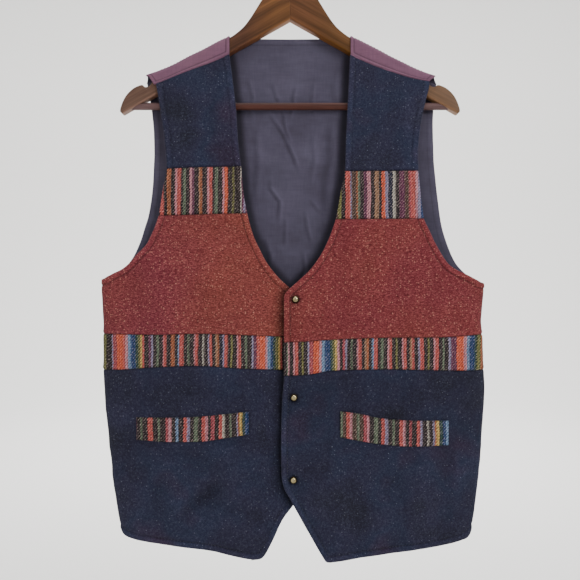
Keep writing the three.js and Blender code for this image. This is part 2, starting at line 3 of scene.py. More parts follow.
import bpy
import numpy as np
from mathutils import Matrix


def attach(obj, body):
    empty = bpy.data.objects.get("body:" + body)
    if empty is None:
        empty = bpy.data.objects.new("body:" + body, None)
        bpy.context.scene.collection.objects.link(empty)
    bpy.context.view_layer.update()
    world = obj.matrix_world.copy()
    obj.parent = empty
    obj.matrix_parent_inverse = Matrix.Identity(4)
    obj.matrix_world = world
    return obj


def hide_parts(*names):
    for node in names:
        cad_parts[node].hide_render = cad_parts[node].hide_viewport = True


# A patchwork wool vest that hangs on a wooden hanger. Blender's unit is the metre; the tables of the cut
# are in millimetres, as a cutter would write them, and millimetre turns them over. +Z is up and the
# front faces -Y. Left and right are the wearer's. A drop is measured down from the hook's seat, and a
# reach outwards from the middle along the cloth.

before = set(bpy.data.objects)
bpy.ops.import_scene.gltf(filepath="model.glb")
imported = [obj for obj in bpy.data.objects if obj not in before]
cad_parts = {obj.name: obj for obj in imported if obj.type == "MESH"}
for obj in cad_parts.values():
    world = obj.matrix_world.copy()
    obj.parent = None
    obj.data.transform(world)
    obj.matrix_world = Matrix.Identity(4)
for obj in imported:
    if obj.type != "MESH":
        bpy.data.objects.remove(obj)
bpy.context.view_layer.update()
millimetre = 0.001

print("stage: cut of the vest")

# Closed section of the vest at each drop: its middle in X, half width, and depth to front and back
sections = {
    "drop": [130, 200, 300, 380, 458, 507, 532, 583, 635, 714, 748, 779, 820],
    "middle": [1, 2, 3, 4, 4.2, 2.6, 3.8, 5.2, 6.6, 7.3, 8, 8.2, 8.2],
    "half": [249, 249, 249, 249, 251.2, 248, 249.9, 250, 247, 239.4, 235.4, 229.6, 223],
    "front": [9.6, 10.5, 13, 15, 17, 18, 18, 18, 17.5, 16.5, 16, 15.5, 15],
    "back": [10.2, 11, 13.5, 15.5, 17, 17.5, 17.5, 17.5, 17, 16, 15.4, 14.5, 14],
}
form = {
    "fullness": 2.5,       # power of the rounded section: 2 is an ellipse
    "bendStart": 0.95,     # share of the half width where the cloth turns to the side seam
    "bendLength": 0.08,
    "seamTurn": 100,       # degrees from the middle of the front to the side seam
    "shoulderDepth": {"front": 9.6, "back": 10.2},
    "shoulderLine": (79, 133, 0.48),   # reach, drop and slope of the shoulders
    "shoulderFlat": 25,
    "shoulderFade": 200,
    "overlap": (85, 75, 3),            # the left front comes forward: from this reach, over, by
    "underlap": (60, 52, -3),          # the right front lies back under it
    "foldFade": (0.2, 0.7),
    "seamGap": 0.12,
}
# Thickness of each cloth, and the share of it to which a piece's rim is rounded
wall = {"wool": 2.2, "strip": 2.0, "back": 1.4, "lining": 0.9, "welt": 1.7, "rounding": 0.45}

leftSide = {
    "name": "left", "sign": 1, "armpit": 456,
    "edge": {
        "drop": [158, 199, 271, 311, 336, 368, 395, 413, 426, 439, 452, 462.4, 470, 478, 574, 606, 671,
                 703, 718, 732, 779, 811, 814.6, 816, 816.4],
        "reach": [78, 76.1, 72.5, 71.1, 65.9, 60.4, 51.6, 43.4, 35.6, 25.8, 12.2, 0.4, -6.6, -7.8, -7.8,
                  -10.2, -11.6, -11, -8, -0.6, 25, 43.4, 45.8, 48.2, 51.5],
    },
    "armhole": {
        "rise": [0.8, 4.5, 10.3, 18, 24.5, 32.2, 42.6, 54, 68.4, 84, 105, 146, 166, 205, 231, 262, 275],
        "front": [249, 243.5, 231.8, 215, 206, 199.7, 193.3, 187, 180.6, 173.6, 170.8, 166.9, 166.3, 169.8,
                  175, 182, 183],
        "back": [246, 241.5, 235, 227, 221.5, 217, 212.4, 208, 203.4, 200, 197, 192.2, 190.6, 189.4, 190.6,
                 194.2, 195],
    },
    "seams": {
        "reach": [-12, 15, 60, 120, 195, 235, 262],
        "yoke": [311, 311, 311, 310.5, 309.8, 309.4, 309],
        "band": [374, 374, 373.4, 372.8, 372, 371.4, 371],
        "chest": [532.5, 531.4, 528.8, 526.7, 526.4, 524.2, 521.6],
        "waist": [575, 574.2, 568.3, 567.2, 569, 569.8, 568.2],
    },
    "hem": {
        "reach": [51.5, 64.4, 90, 141.7, 193.2, 219, 228.6, 236, 246],
        "drop": [816.4, 815.2, 811.3, 804.2, 797.4, 792.6, 789.6, 783, 777.4],
    },
    "welt": {
        "reach": [64.2, 90, 116, 160, 205],
        "upper": [620.5, 624, 629.4, 633, 633.6],
        "lower": [653.6, 659, 663, 666.4, 665.6],
    },
    "stripSeam": {"reach": [76, 101, 128, 158, 181, 188], "drop": [158.4, 170.4, 180.4, 189.6, 194, 195]},
}
rightSide = {
    "name": "right", "sign": -1, "armpit": 451,
    "edge": {
        "drop": [158, 199, 231, 271, 305, 336, 367, 395, 413, 426, 439, 451, 462.4, 478, 716, 739, 762, 791,
                 806.4, 810.6, 812.6, 813.4, 813.6],
        "reach": [78.9, 73.6, 70, 67.4, 63.4, 60.7, 55, 47.1, 38.7, 32.2, 23.2, 12.9, 0, -16.7, -16.7, -6.8,
                  9.4, 23.1, 31.2, 34.4, 37.2, 41, 44.6],
    },
    "armhole": {
        "rise": [0.8, 3, 7, 13, 23.4, 31, 44, 55.6, 70, 84, 121, 146, 167, 193, 219, 252, 264],
        "front": [241, 238, 231.8, 218.9, 206.1, 199.7, 186.9, 180.6, 174.2, 170, 164.2, 160.4, 161.8,
                  164.6, 168.6, 174, 177],
        "back": [238, 235, 230, 221.5, 212.5, 207.6, 201.5, 197, 192.6, 188.2, 182.4, 180.8, 180, 180.4,
                 183, 188.4, 190.6],
    },
    "seams": {
        "reach": [-17, 60, 120, 180, 210, 254],
        "yoke": [304, 304.6, 306, 307.6, 307.8, 308],
        "band": [365, 365.8, 367, 368.5, 368.8, 369],
        "chest": [526.7, 523.2, 521.6, 523, 522.6, 522],
        "waist": [569.4, 566, 562.8, 565.2, 567.8, 569.6],
    },
    "hem": {
        "reach": [44.6, 52, 77.3, 103, 154.6, 193.2, 208, 216, 223, 232],
        "drop": [813.6, 812.8, 807.8, 802, 796.4, 791.4, 788.6, 784.6, 780, 777.4],
    },
    "welt": {
        "reach": [52.7, 84, 116, 155, 198.5],
        "upper": [620.5, 624.3, 627.6, 629.4, 629.4],
        "lower": [650, 655.4, 660, 660.8, 658.6],
    },
    "stripSeam": {"reach": [76, 101, 128, 152, 176, 188], "drop": [157.8, 168.8, 178.9, 188.4, 198, 202]},
}
crest = {"reach": [79, 105, 131, 157, 170, 188, 196], "drop": [133.2, 146.3, 159.4, 172.6, 178, 184, 186.6]}
backTop = {
    "reach": [0, 40, 62, 72, 79, 105, 131, 157, 170, 188, 196],
    "drop": [132.3, 131.7, 132.8, 135.6, 139.1, 152.2, 165.3, 178.5, 183.9, 189.9, 192.5],
}
backHem = {"reach": [0, 90, 170, 240], "drop": [742, 750, 768, 777.4]}

# Largest folds, the same as in the solids: place, lean from upright in degrees, half length, half width
# and height
frontFolds = [
    (-122, 744, 51, 42, 15, -2), (-170, 470, -14, 90, 30, 1.4), (-60, 650, 4, 110, 26, 1.4),
    (205, 512, 74, 44, 13, -1.6), (150, 720, -8, 80, 28, 1.8), (120, 455, 22, 80, 26, 1.2),
    (85, 745, 12, 55, 20, -1.4),
]
backFolds = [
    (-120, 520, 5, 210, 26, 2.6), (-48, 600, -3, 150, 22, -2), (22, 560, 2, 190, 30, 2),
    (104, 500, -6, 200, 24, 2.8), (168, 620, -2, 130, 22, -1.6), (-180, 640, 3, 120, 22, -1.8),
]

sharpness = 2 / form["fullness"]
bendAngle = math.asin(form["bendStart"] ** (1 / sharpness))
seamAngle = math.radians(form["seamTurn"])
bendPerShare = (seamAngle - bendAngle) / form["bendLength"]
frontShare = form["bendStart"] + form["bendLength"]
backShare = form["bendStart"] + (math.pi - seamAngle - bendAngle) / bendPerShare


def curveAt(table, by, column, place):
    # Smooth curve through a table's points: a cubic between neighbours, whose slope at a point is the
    # harmonic mean of the slopes beside it, and level where the points turn back
    xs = np.array(table[by], float)
    ys = np.array(table[column], float)
    place = np.clip(place, xs[0], xs[-1])
    width = np.diff(xs)
    slope = np.diff(ys) / width
    both = slope[:-1] * slope[1:]
    between = np.where(both > 0, 2 * both / np.where(both > 0, slope[:-1] + slope[1:], 1), 0)
    lean = np.concatenate([slope[:1], between, slope[-1:]])
    at = np.clip(np.searchsorted(xs, place, side="right") - 1, 0, len(xs) - 2)
    t = (place - xs[at]) / width[at]
    rise = t * t * (3 - 2 * t)
    bow = lean[at] * t * (1 - t) ** 2 - lean[at + 1] * t * t * (1 - t)
    return ys[at] * (1 - rise) + ys[at + 1] * rise + width[at] * bow


def ease(value):
    # 0 below 0, 1 above 1, and a smooth step between
    t = np.clip(value, 0, 1)
    return t * t * (3 - 2 * t)


def blend(start, end, share):
    # From start to end by a share of the way
    return start + (end - start) * share


def bell(value):
    # 1 at 0, and soon 0 on both sides
    return np.exp(-value ** 2)


def foldHeight(folds, x, drop):
    # Sum of long soft bells, each turned by its lean
    total = np.zeros(np.broadcast(x, drop).shape)
    for middle, middleDrop, lean, long, wide, out in folds:
        angle = math.radians(lean)
        across = (x - middle) * math.cos(angle) + (drop - middleDrop) * math.sin(angle)
        along = (drop - middleDrop) * math.cos(angle) - (x - middle) * math.sin(angle)
        total = total + out * bell(across / wide) * bell(along / long)
    return total


def clothPoint(face, sign, reach, drop):
    # Spot on the outside of the cloth: a rounded section whose depth is the power mean of its width and
    # depth, blended from the flat of the shoulders, with the folds added. Millimetres.
    middle = curveAt(sections, "drop", "middle", drop)
    half = curveAt(sections, "drop", "half", drop)
    share = (reach - sign * middle) / half
    bend = np.clip(np.abs(share), 0, form["bendStart"])
    turn = np.where(
        share <= form["bendStart"],
        np.sign(share) * np.arcsin(bend ** (1 / sharpness)),
        bendAngle + (share - form["bendStart"]) * bendPerShare,
    )
    side, height = np.sin(turn), np.cos(turn)
    x = middle + sign * half * np.sign(side) * np.abs(side) ** sharpness
    other = "back" if face == "front" else "front"
    near, far = (curveAt(sections, "drop", column, drop) for column in (face, other))
    deep = np.where(height > 0, near, far)
    depth = np.sign(height) * np.abs(height) ** sharpness * deep
    low, high = form["foldFade"]
    folds = foldHeight(frontFolds if face == "front" else backFolds, x, drop)
    lineReach, lineDrop, lineSlope = form["shoulderLine"]
    shoulder = lineDrop + lineSlope * (np.abs(x) - lineReach)
    leaving = ease((drop - shoulder - form["shoulderFlat"]) / form["shoulderFade"])
    out = blend(form["shoulderDepth"][face], depth + folds * ease((height - low) / (high - low)), leaving)
    if face == "front":
        start, length, lap = form["overlap" if sign > 0 else "underlap"]
        out = -out - lap * ease((start - reach) / length)
    return np.stack(np.broadcast_arrays(x, out, -drop), -1)


def slopeOf(curve, place, step=0.5):
    # Rise of a curve for each millimetre, from a step to each side
    return (curve(place + step) - curve(place - step)) / (2 * step)


def sideSeam(side, face, drop):
    # Reach of the side seam: the half width times the share at which the section has turned that far
    share = frontShare if face == "front" else backShare
    half = curveAt(sections, "drop", "half", drop)
    middle = curveAt(sections, "drop", "middle", drop)
    return half * share + side["sign"] * middle - form["seamGap"] / 2


def outerEdge(side, face, drop):
    # The side seam, and above the armpit the armhole, which starts where the seam ends
    armpit = float(side["armpit"])
    foot = float(sideSeam(side, face, np.array(armpit)))
    hole = {"rise": [0, *side["armhole"]["rise"]], "reach": [foot, *side["armhole"][face]]}
    seam = sideSeam(side, face, np.maximum(drop, armpit))
    return np.where(drop >= armpit, seam, curveAt(hole, "rise", "reach", armpit - drop))


gridForm = {
    "firstReach": 120.0, "rounds": 12,         # where panelPlace starts, and how often it settles
    "rounding": (0.25, 0.6, 1.1, 1.9),         # close places at a rounded end, in millimetres
    "clear": 1.4,                              # times the last of them, kept free of even places
}


def panelPlace(inner, outer, levels, across, up):
    # Reach and drop of places in a panel: across goes from its inner to its outer edge, and up climbs
    # its levels, lowest first. Edges and levels lean on each other, so a few rounds settle them.
    level = np.minimum(np.floor(up).astype(int), len(levels) - 2)
    reach = np.full(across.shape, gridForm["firstReach"])
    for _ in range(gridForm["rounds"]):
        heights = np.stack([curve(reach) for curve in levels])
        low = np.take_along_axis(heights, level[None], 0)[0]
        high = np.take_along_axis(heights, level[None] + 1, 0)[0]
        drop = blend(low, high, up - level)
        reach = blend(inner(drop), outer(drop), across)
    return reach, drop


def shares(length, step, closeEnds=(True, True)):
    # Places from 0 to 1 in even steps, with a few close ones at the ends that are rounded off
    close = np.array(gridForm["rounding"]) / length
    even = np.linspace(0, 1, max(2, round(length / step)) + 1)
    edge = gridForm["clear"] * close[-1]
    first = np.concatenate([[0], close]) if closeEnds[0] else np.array([0.0])
    last = np.concatenate([1 - close[::-1], [1]]) if closeEnds[1] else np.array([1.0])
    inside = even[(even > (edge if closeEnds[0] else 0)) & (even < 1 - (edge if closeEnds[1] else 0))]
    return np.concatenate([first, inside, last])


def chained(stretches):
    # Places up a panel of several stretches: 0 to 1 in the lowest, 1 to 2 in the next, and so on
    rows = [at + shares(*stretch)[:-1] for at, stretch in enumerate(stretches)]
    return np.append(np.concatenate(rows), float(len(stretches)))


def nearest(path, a, b):
    # Distance from each place to a path of short straight steps, and how far along it that spot lies
    best = np.full(np.shape(a), np.inf)
    along = np.zeros(np.shape(a))
    walked = 0.0
    for (startA, startB), (endA, endB) in zip(path[:-1], path[1:]):
        stepA, stepB = endA - startA, endB - startB
        size = math.hypot(stepA, stepB)
        if size < 1e-9:
            continue
        t = np.clip(((a - startA) * stepA + (b - startB) * stepB) / size ** 2, 0, 1)
        gap = np.hypot(a - startA - t * stepA, b - startB - t * stepB)
        closer = gap < best
        best = np.where(closer, gap, best)
        along = np.where(closer, walked + t * size, along)
        walked += size
    return best, along


# How finely an edge is walked: so many points on each stretch of it
edgeSteps = {
    "neck": 30, "neckEnd": 400, "front": 82, "frontStart": 405, "tip": 16, "tipLength": 9, "tipGap": 1,
    "hem": 60, "armhole": 90, "crowding": 1.6, "seenOnLining": 64,
}


def openEdge(side):
    # Path of a front's open edge: down the neck and the front edge to the hem's point, then the hem
    highest, lowest = side["edge"]["drop"][0], side["edge"]["drop"][-1]
    tip = edgeSteps["tipLength"]
    drops = np.concatenate([
        np.linspace(highest, edgeSteps["neckEnd"], edgeSteps["neck"]),
        np.linspace(edgeSteps["frontStart"], lowest - tip - edgeSteps["tipGap"], edgeSteps["front"]),
        lowest - tip * np.linspace(1, 0, edgeSteps["tip"]) ** 2,
    ])
    down = np.stack([curveAt(side["edge"], "drop", "reach", drops), drops], -1)
    reaches = np.linspace(side["hem"]["reach"][0], side["hem"]["reach"][-1], edgeSteps["hem"])[1:]
    out = np.stack([reaches, curveAt(side["hem"], "reach", "drop", reaches)], -1)
    return np.concatenate([down, out])


def armholePath(side, face):
    # Path down an armhole, with its points closer together towards the armpit
    highest = side["armhole"]["rise"][-1]
    rises = highest * np.linspace(1, 0, edgeSteps["armhole"]) ** edgeSteps["crowding"]
    drops = side["armpit"] - rises
    return np.stack([outerEdge(side, face, drops), drops], -1)


# How a stitched edge sits: the row of stitches lies in a groove, and the strip outside it rolls up
edgeForm = {
    "inset": 8.0, "groove": 0.75, "grooveWidth": 1.2, "roll": 0.75, "fullness": 0.8,
    "pucker": 0.16, "puckerPitch": 7.3, "puckerWidth": 3.4, "unevenness": 1.5, "unevenPitch": 31,
}
seamForm = {"groove": 0.9, "grooveWidth": 1.3, "ridge": 0.45, "ridgePlace": 3.2, "ridgeWidth": 1.7}


def stitchedEdge(distance, along, inset=edgeForm["inset"]):
    # A low arch from the edge to the stitches, a groove under them, and small puckers along the groove
    arch = edgeForm["roll"] * np.sin(np.pi * np.clip(distance / inset, 0, 1)) ** edgeForm["fullness"]
    groove = edgeForm["groove"] * bell((distance - inset) / edgeForm["grooveWidth"])
    shift = edgeForm["unevenness"] * np.sin(along / edgeForm["unevenPitch"])
    beat = np.sin(2 * np.pi * along / edgeForm["puckerPitch"] + shift)
    return arch - groove + edgeForm["pucker"] * beat * bell((distance - inset) / edgeForm["puckerWidth"])


def seamValley(distance, above):
    # A groove where two pieces meet, and a ridge of turned-in cloth on the upper one
    ridge = seamForm["ridge"] * bell((distance - seamForm["ridgePlace"]) / seamForm["ridgeWidth"])
    return np.where(above, ridge, 0) - seamForm["groove"] * bell(distance / seamForm["grooveWidth"])


# Waves of a cloth: a seed, their mean length and their height. Each row is a sum of so many waves.
waves = {
    "left": [(6, 60, 0.55), (11, 23, 0.14)], "right": [(4, 60, 0.55), (11, 23, 0.14)],
    "back": [(3, 70, 0.45), (8, 22, 0.1)], "lining": [(21, 48, 0.35), (23, 17, 0.16)],
    "leftStrip": [(32, 34, 0.25)], "rightStrip": [(30, 34, 0.25)],
}
waveForm = {"count": 9, "shortest": 0.6, "longest": 1.8}
creaseForm = {"fade": 0.3, "ridge": 0.75, "ridgePlace": 1.7}


def waviness(rows, x, drop):
    # Cloth is never quite flat: a sum of slanted sine waves of uneven length
    total = np.zeros(np.broadcast(x, drop).shape)
    for seed, size, height in rows:
        random = np.random.default_rng(seed)
        share = height / math.sqrt(waveForm["count"])
        for _ in range(waveForm["count"]):
            length = size * random.uniform(waveForm["shortest"], waveForm["longest"])
            angle = random.uniform(0, np.pi)
            phase = random.uniform(0, 2 * np.pi)
            turned = x * np.cos(angle) + drop * np.sin(angle)
            total = total + share * np.sin(2 * np.pi * turned / length + phase)
    return total


def creaseHeight(creases, x, drop):
    # A crease is a soft trough along a bent line with a low ridge on its right, fading at both ends
    total = np.zeros(np.broadcast(x, drop).shape)
    for depth, wide, points in creases:
        path = np.array(points, float)
        gap, along = nearest(path, x, drop)
        length = np.hypot(*np.diff(path, axis=0).T).sum()
        fading = creaseForm["fade"] * length
        fade = ease(along / fading) * ease((length - along) / fading)
        aside = nearest(path + [creaseForm["ridgePlace"] * wide, 0], x, drop)[0]
        total = total - depth * fade * (bell(gap / wide) - creaseForm["ridge"] * bell(aside / wide))
    return total


snapSpots = [{"x": 7, "drop": 477.1}, {"x": 5.1, "drop": 602.9}, {"x": 4.5, "drop": 708.9}]

# How each front's cloth sits at its side seam and under a snap, and how dark or pale it is where:
# painted shade in its seams, round its snaps and under the left front's edge, and a painted highlight
# on the ridge above the chest's lower seam
frontForm = {
    "sideGroove": (0.6, 1.6, 10),     # depth, half width, and where it has come in below the armpit
    "snapDent": (1.9, 5.6),           # depth and half width
    # seamShade and snapShade are painted shade in the seams and round the snaps' dents, and foldLight a
    # painted highlight on the ridge above the chest's lower seam
    "seamShade": (0.36, 0.9), "foldLight": (0.22, 2.4, 1.0), "snapShade": (0.5, 4.6, 2.0),
    # cover is a painted shadow under the left front's edge
    "cover": (0.74, 17, 1.3, 440),    # under the left front's edge: shade, width, power, and its start
    "upper": (0.12, 566, 12, 690, 60),   # above the left welt: shade, start, its rise, end, its fall
}
# Smaller creases of each front: depth, half width, and the bent line they follow in reach and drop
frontCreases = {
    "left": [
        (0.9, 9, [(205, 500), (232, 512), (252, 517)]), (0.6, 7, [(210, 478), (238, 487), (256, 490)]),
        (0.7, 8, [(150, 470), (185, 462), (214, 474)]), (0.6, 9, [(28, 500), (60, 478), (84, 440)]),
        (0.8, 10, [(60, 700), (92, 730), (120, 772)]), (0.7, 9, [(130, 690), (146, 735), (150, 780)]),
        (0.6, 8, [(190, 640), (205, 690), (204, 740)]), (0.5, 7, [(40, 600), (52, 640), (44, 690)]),
        (0.5, 7, [(95, 180), (112, 230), (106, 290)]), (0.5, 8, [(150, 210), (138, 260), (146, 300)]),
        (0.5, 8, [(100, 600), (150, 606), (200, 598)]), (0.6, 8, [(90, 395), (100, 440), (84, 490)]),
    ],
    "right": [
        (2.1, 11, [(82, 700), (100, 722), (128, 746), (150, 772)]),
        (0.6, 8, [(150, 690), (172, 720), (180, 770)]),
        (0.6, 9, [(200, 600), (212, 650), (206, 720)]), (0.6, 8, [(196, 470), (222, 476), (250, 470)]),
        (0.7, 9, [(205, 515), (228, 505), (250, 508)]), (0.6, 9, [(60, 440), (92, 470), (130, 480)]),
        (0.5, 8, [(20, 610), (34, 650), (28, 700)]), (0.5, 8, [(96, 590), (140, 600), (190, 592)]),
        (0.5, 7, [(90, 190), (104, 235), (96, 285)]), (0.5, 8, [(140, 220), (128, 262), (134, 296)]),
        (0.5, 8, [(60, 760), (90, 778), (130, 784)]), (0.5, 8, [(110, 395), (120, 440), (108, 500)]),
    ],
}


def frontRelief(side):
    # Height of a front's finer form over its main surface, in millimetres, as a function of the place
    border = openEdge(side)
    hole = armholePath(side, "front")
    seams = side["seams"]
    name = side["name"]
    snapsHere = snapSpots if side["sign"] > 0 else []

    def height(reach, drop):
        edge, edgeAlong = nearest(border, reach, drop)
        armhole, armholeAlong = nearest(hole, reach, drop)
        total = stitchedEdge(edge, edgeAlong) + stitchedEdge(armhole, armholeAlong)
        for level in ("yoke", "band", "chest", "waist"):
            line = lambda at: curveAt(seams, "reach", level, at)
            gap = (line(reach) - drop) / np.sqrt(1 + slopeOf(line, reach) ** 2)
            total = total + seamValley(np.abs(gap), gap > 0)
        seam = sideSeam(side, "front", drop) - reach
        depth, wide, start = frontForm["sideGroove"]
        total = total - depth * bell(seam / wide) * ease((drop - side["armpit"]) / start)
        total = total + creaseHeight(frontCreases[name], reach, drop)
        total = total + waviness(waves[name], side["sign"] * reach, drop)
        depth, wide = frontForm["snapDent"]
        for spot in snapsHere:
            away = np.hypot(reach - spot["x"], drop - spot["drop"])
            total = total - depth * bell(away / wide)
        return total

    def rim(reach, drop):
        return np.minimum(nearest(border, reach, drop)[0], nearest(hole, reach, drop)[0])

    def shade(reach, drop):
        # Painted shade along the seams and round the snaps' dents, and a painted highlight on the ridge
        # above the chest's lower seam. The right front has a painted shadow under the left one's edge,
        # and the left one is a little darker above its welt.
        total = np.zeros(np.shape(reach))
        dark, wide = frontForm["seamShade"]
        for level in ("yoke", "band", "chest", "waist"):
            gap = curveAt(seams, "reach", level, reach) - drop
            total = total + dark * bell(gap / wide)
        pale, place, wide = frontForm["foldLight"]
        gap = curveAt(seams, "reach", "chest", reach) - drop
        total = total - pale * bell((gap - place) / wide)
        dark, place, wide = frontForm["snapShade"]
        for spot in snapsHere:
            away = np.hypot(reach - spot["x"], drop - spot["drop"])
            total = total + dark * bell((away - place) / wide)
        if side["sign"] < 0:
            dark, wide, power, start = frontForm["cover"]
            under = curveAt(leftSide["edge"], "drop", "reach", drop) + reach
            covered = dark * (1 - np.clip(under / wide, 0, 1)) ** power
            return total + np.where(drop > start, covered, 0)
        dark, start, rise, end, fall = frontForm["upper"]
        return total + dark * ease((drop - start) / rise) * ease((end - drop) / fall)

    return height, rim, shade


def normalOf(surface, a, b, flipped, step=0.05):
    # Direction out of a surface: its two slopes crossed, from a small step to each side
    along = surface(a + step, b) - surface(a - step, b)
    over = surface(a, b - step) - surface(a, b + step)
    normal = np.cross(along, over)
    return normal / np.linalg.norm(normal, axis=-1, keepdims=True) * (-1 if flipped else 1)


def meshObject(name, points, faces, uv=None):
    # A smooth-shaded mesh in the scene, with a UV place for each point if it has any
    mesh = bpy.data.meshes.new(name)
    mesh.from_pydata(points, [], faces)
    if uv is not None:
        layer = mesh.uv_layers.new(name="cloth")
        corners = np.zeros(len(mesh.loops), dtype=np.int32)
        mesh.loops.foreach_get("vertex_index", corners)
        layer.data.foreach_set("uv", uv[corners].astype(np.float32).ravel())
    mesh.polygons.foreach_set("use_smooth", np.ones(len(mesh.polygons), dtype=bool))
    mesh.update()
    made = bpy.data.objects.new(name, mesh)
    bpy.context.scene.collection.objects.link(made)
    return made


def noteTrim(made, edge, height, shade):
    # Keeps for the finish: distance from the edge and height in metres, and the painted shade of the
    # spot, which is painted light where it is below 0
    trim = np.stack([edge * millimetre, height * millimetre, shade], -1)
    layer = made.data.attributes.new("trim", "FLOAT_VECTOR", "POINT")
    layer.data.foreach_set("vector", trim.astype(np.float32).ravel())


def gridFaces(rows, columns, start=0, turned=False):
    # Quads between neighbouring rows and columns of points, rows counted first
    row, column = np.meshgrid(np.arange(rows - 1), np.arange(columns - 1), indexing="ij")
    corner = (start + row * columns + column).ravel()
    quads = np.stack([corner, corner + 1, corner + columns + 1, corner + columns], -1)
    return quads[:, ::-1] if turned else quads


def clothShell(name, surface, a, b, relief, rim, thick, flipped=False, lift=0.0, follow=0.5, mirror=1,
               shade=None, hollow=None):
    # A closed wall of cloth. Its outer points are the surface moved out along its normal by lift and
    # relief, its inner ones lie a thickness under it, and both curve together at the rim. Its UV map
    # holds the place on the cloth in metres, and its attribute trim the distance from the edge and the
    # height in metres (hollow, or else relief) for the painted shade of hollows, and the painted shade
    # that another piece would cast on it, which is painted light where it is below 0.
    radius = wall["rounding"] * thick
    normal = normalOf(surface, a, b, flipped)
    base = surface(a, b)
    height = relief(a, b)
    inward = np.clip(radius - rim(a, b), 0, radius)
    sink = radius - np.sqrt(radius ** 2 - inward ** 2)
    outer = base + normal * (lift + height - sink)[..., None]
    inner = base + normal * (lift - thick + follow * height + sink)[..., None]
    rows, columns = a.shape
    total = rows * columns
    points = np.concatenate([outer.reshape(-1, 3), inner.reshape(-1, 3)]) * millimetre
    number = np.arange(total).reshape(rows, columns)
    around = np.concatenate([number[0, :], number[1:, -1], number[-1, -2::-1], number[-2:0:-1, 0]])
    onward = np.roll(around, -1)
    band = np.stack([around, around + total, onward + total, onward], -1)
    quads = np.concatenate([
        gridFaces(rows, columns), gridFaces(rows, columns, total, True), band,
    ])
    if flipped:
        quads = quads[:, ::-1]
    uv = np.stack([mirror * a, -b], -1).reshape(-1, 2) * millimetre
    made = meshObject(name, points, quads.tolist(), np.concatenate([uv, uv]))
    dim = shade(a, b) if shade else np.zeros(a.shape)
    deep = hollow(a, b) if hollow else height
    noteTrim(made, *(np.tile(part.ravel(), 2) for part in (rim(a, b), deep, dim)))
    insideFirst = (rows - 1) * (columns - 1)
    inside = np.zeros(len(quads), dtype=np.int32)
    inside[insideFirst:2 * insideFirst] = 1
    made.data.polygons.foreach_set("material_index", inside)
    return made


def cutArea(a, b):
    # Area of the cut piece as it lies flat, from the grid of its reaches and drops, in square metres
    acrossA, acrossB = a[1:, 1:] - a[:-1, :-1], b[1:, 1:] - b[:-1, :-1]
    overA, overB = a[1:, :-1] - a[:-1, 1:], b[1:, :-1] - b[:-1, 1:]
    return 0.5 * np.abs(acrossA * overB - acrossB * overA).sum() * millimetre ** 2


print("stage: finishes")


class Signal:
    # A node's output. Python's operators on it add one Math node each.
    def __init__(self, graph, socket):
        self.graph = graph
        self.socket = socket

    def maths(self, operation, first, second=0.0):
        # One Math node over two signals or numbers
        return self.graph.node("ShaderNodeMath", {"operation": operation}, {0: first, 1: second})

    def __add__(self, other):
        return self.maths("ADD", self, other)

    def __radd__(self, other):
        return self.maths("ADD", other, self)

    def __sub__(self, other):
        return self.maths("SUBTRACT", self, other)

    def __rsub__(self, other):
        return self.maths("SUBTRACT", other, self)

    def __mul__(self, other):
        return self.maths("MULTIPLY", self, other)

    def __truediv__(self, other):
        return self.maths("DIVIDE", self, other)

    def __gt__(self, other):
        return self.maths("GREATER_THAN", self, other)

    def __lt__(self, other):
        return self.maths("LESS_THAN", self, other)

    def sine(self):
        # Sine of the signal in radians
        return self.maths("SINE", self)

    def size(self):
        # The signal without its sign
        return self.maths("ABSOLUTE", self)

    def line(self, steep, start):
        # The signal times steep, plus start
        return self * steep + start

    def between(self, low, high):
        # 0 at low, 1 at high, and held there outside
        return self.graph.node("ShaderNodeMapRange", {"clamp": True}, {0: self, 1: low, 2: high})


# Painted shade along the stitching and a painted highlight on the rolled edge outside it, as drawn
# by a finish: from where to where in metres, and how much
paintedShadingLook = {"line": (0.0013, 0.0002), "rolled": (0.001, 0.0035), "rolledLight": 0.07}


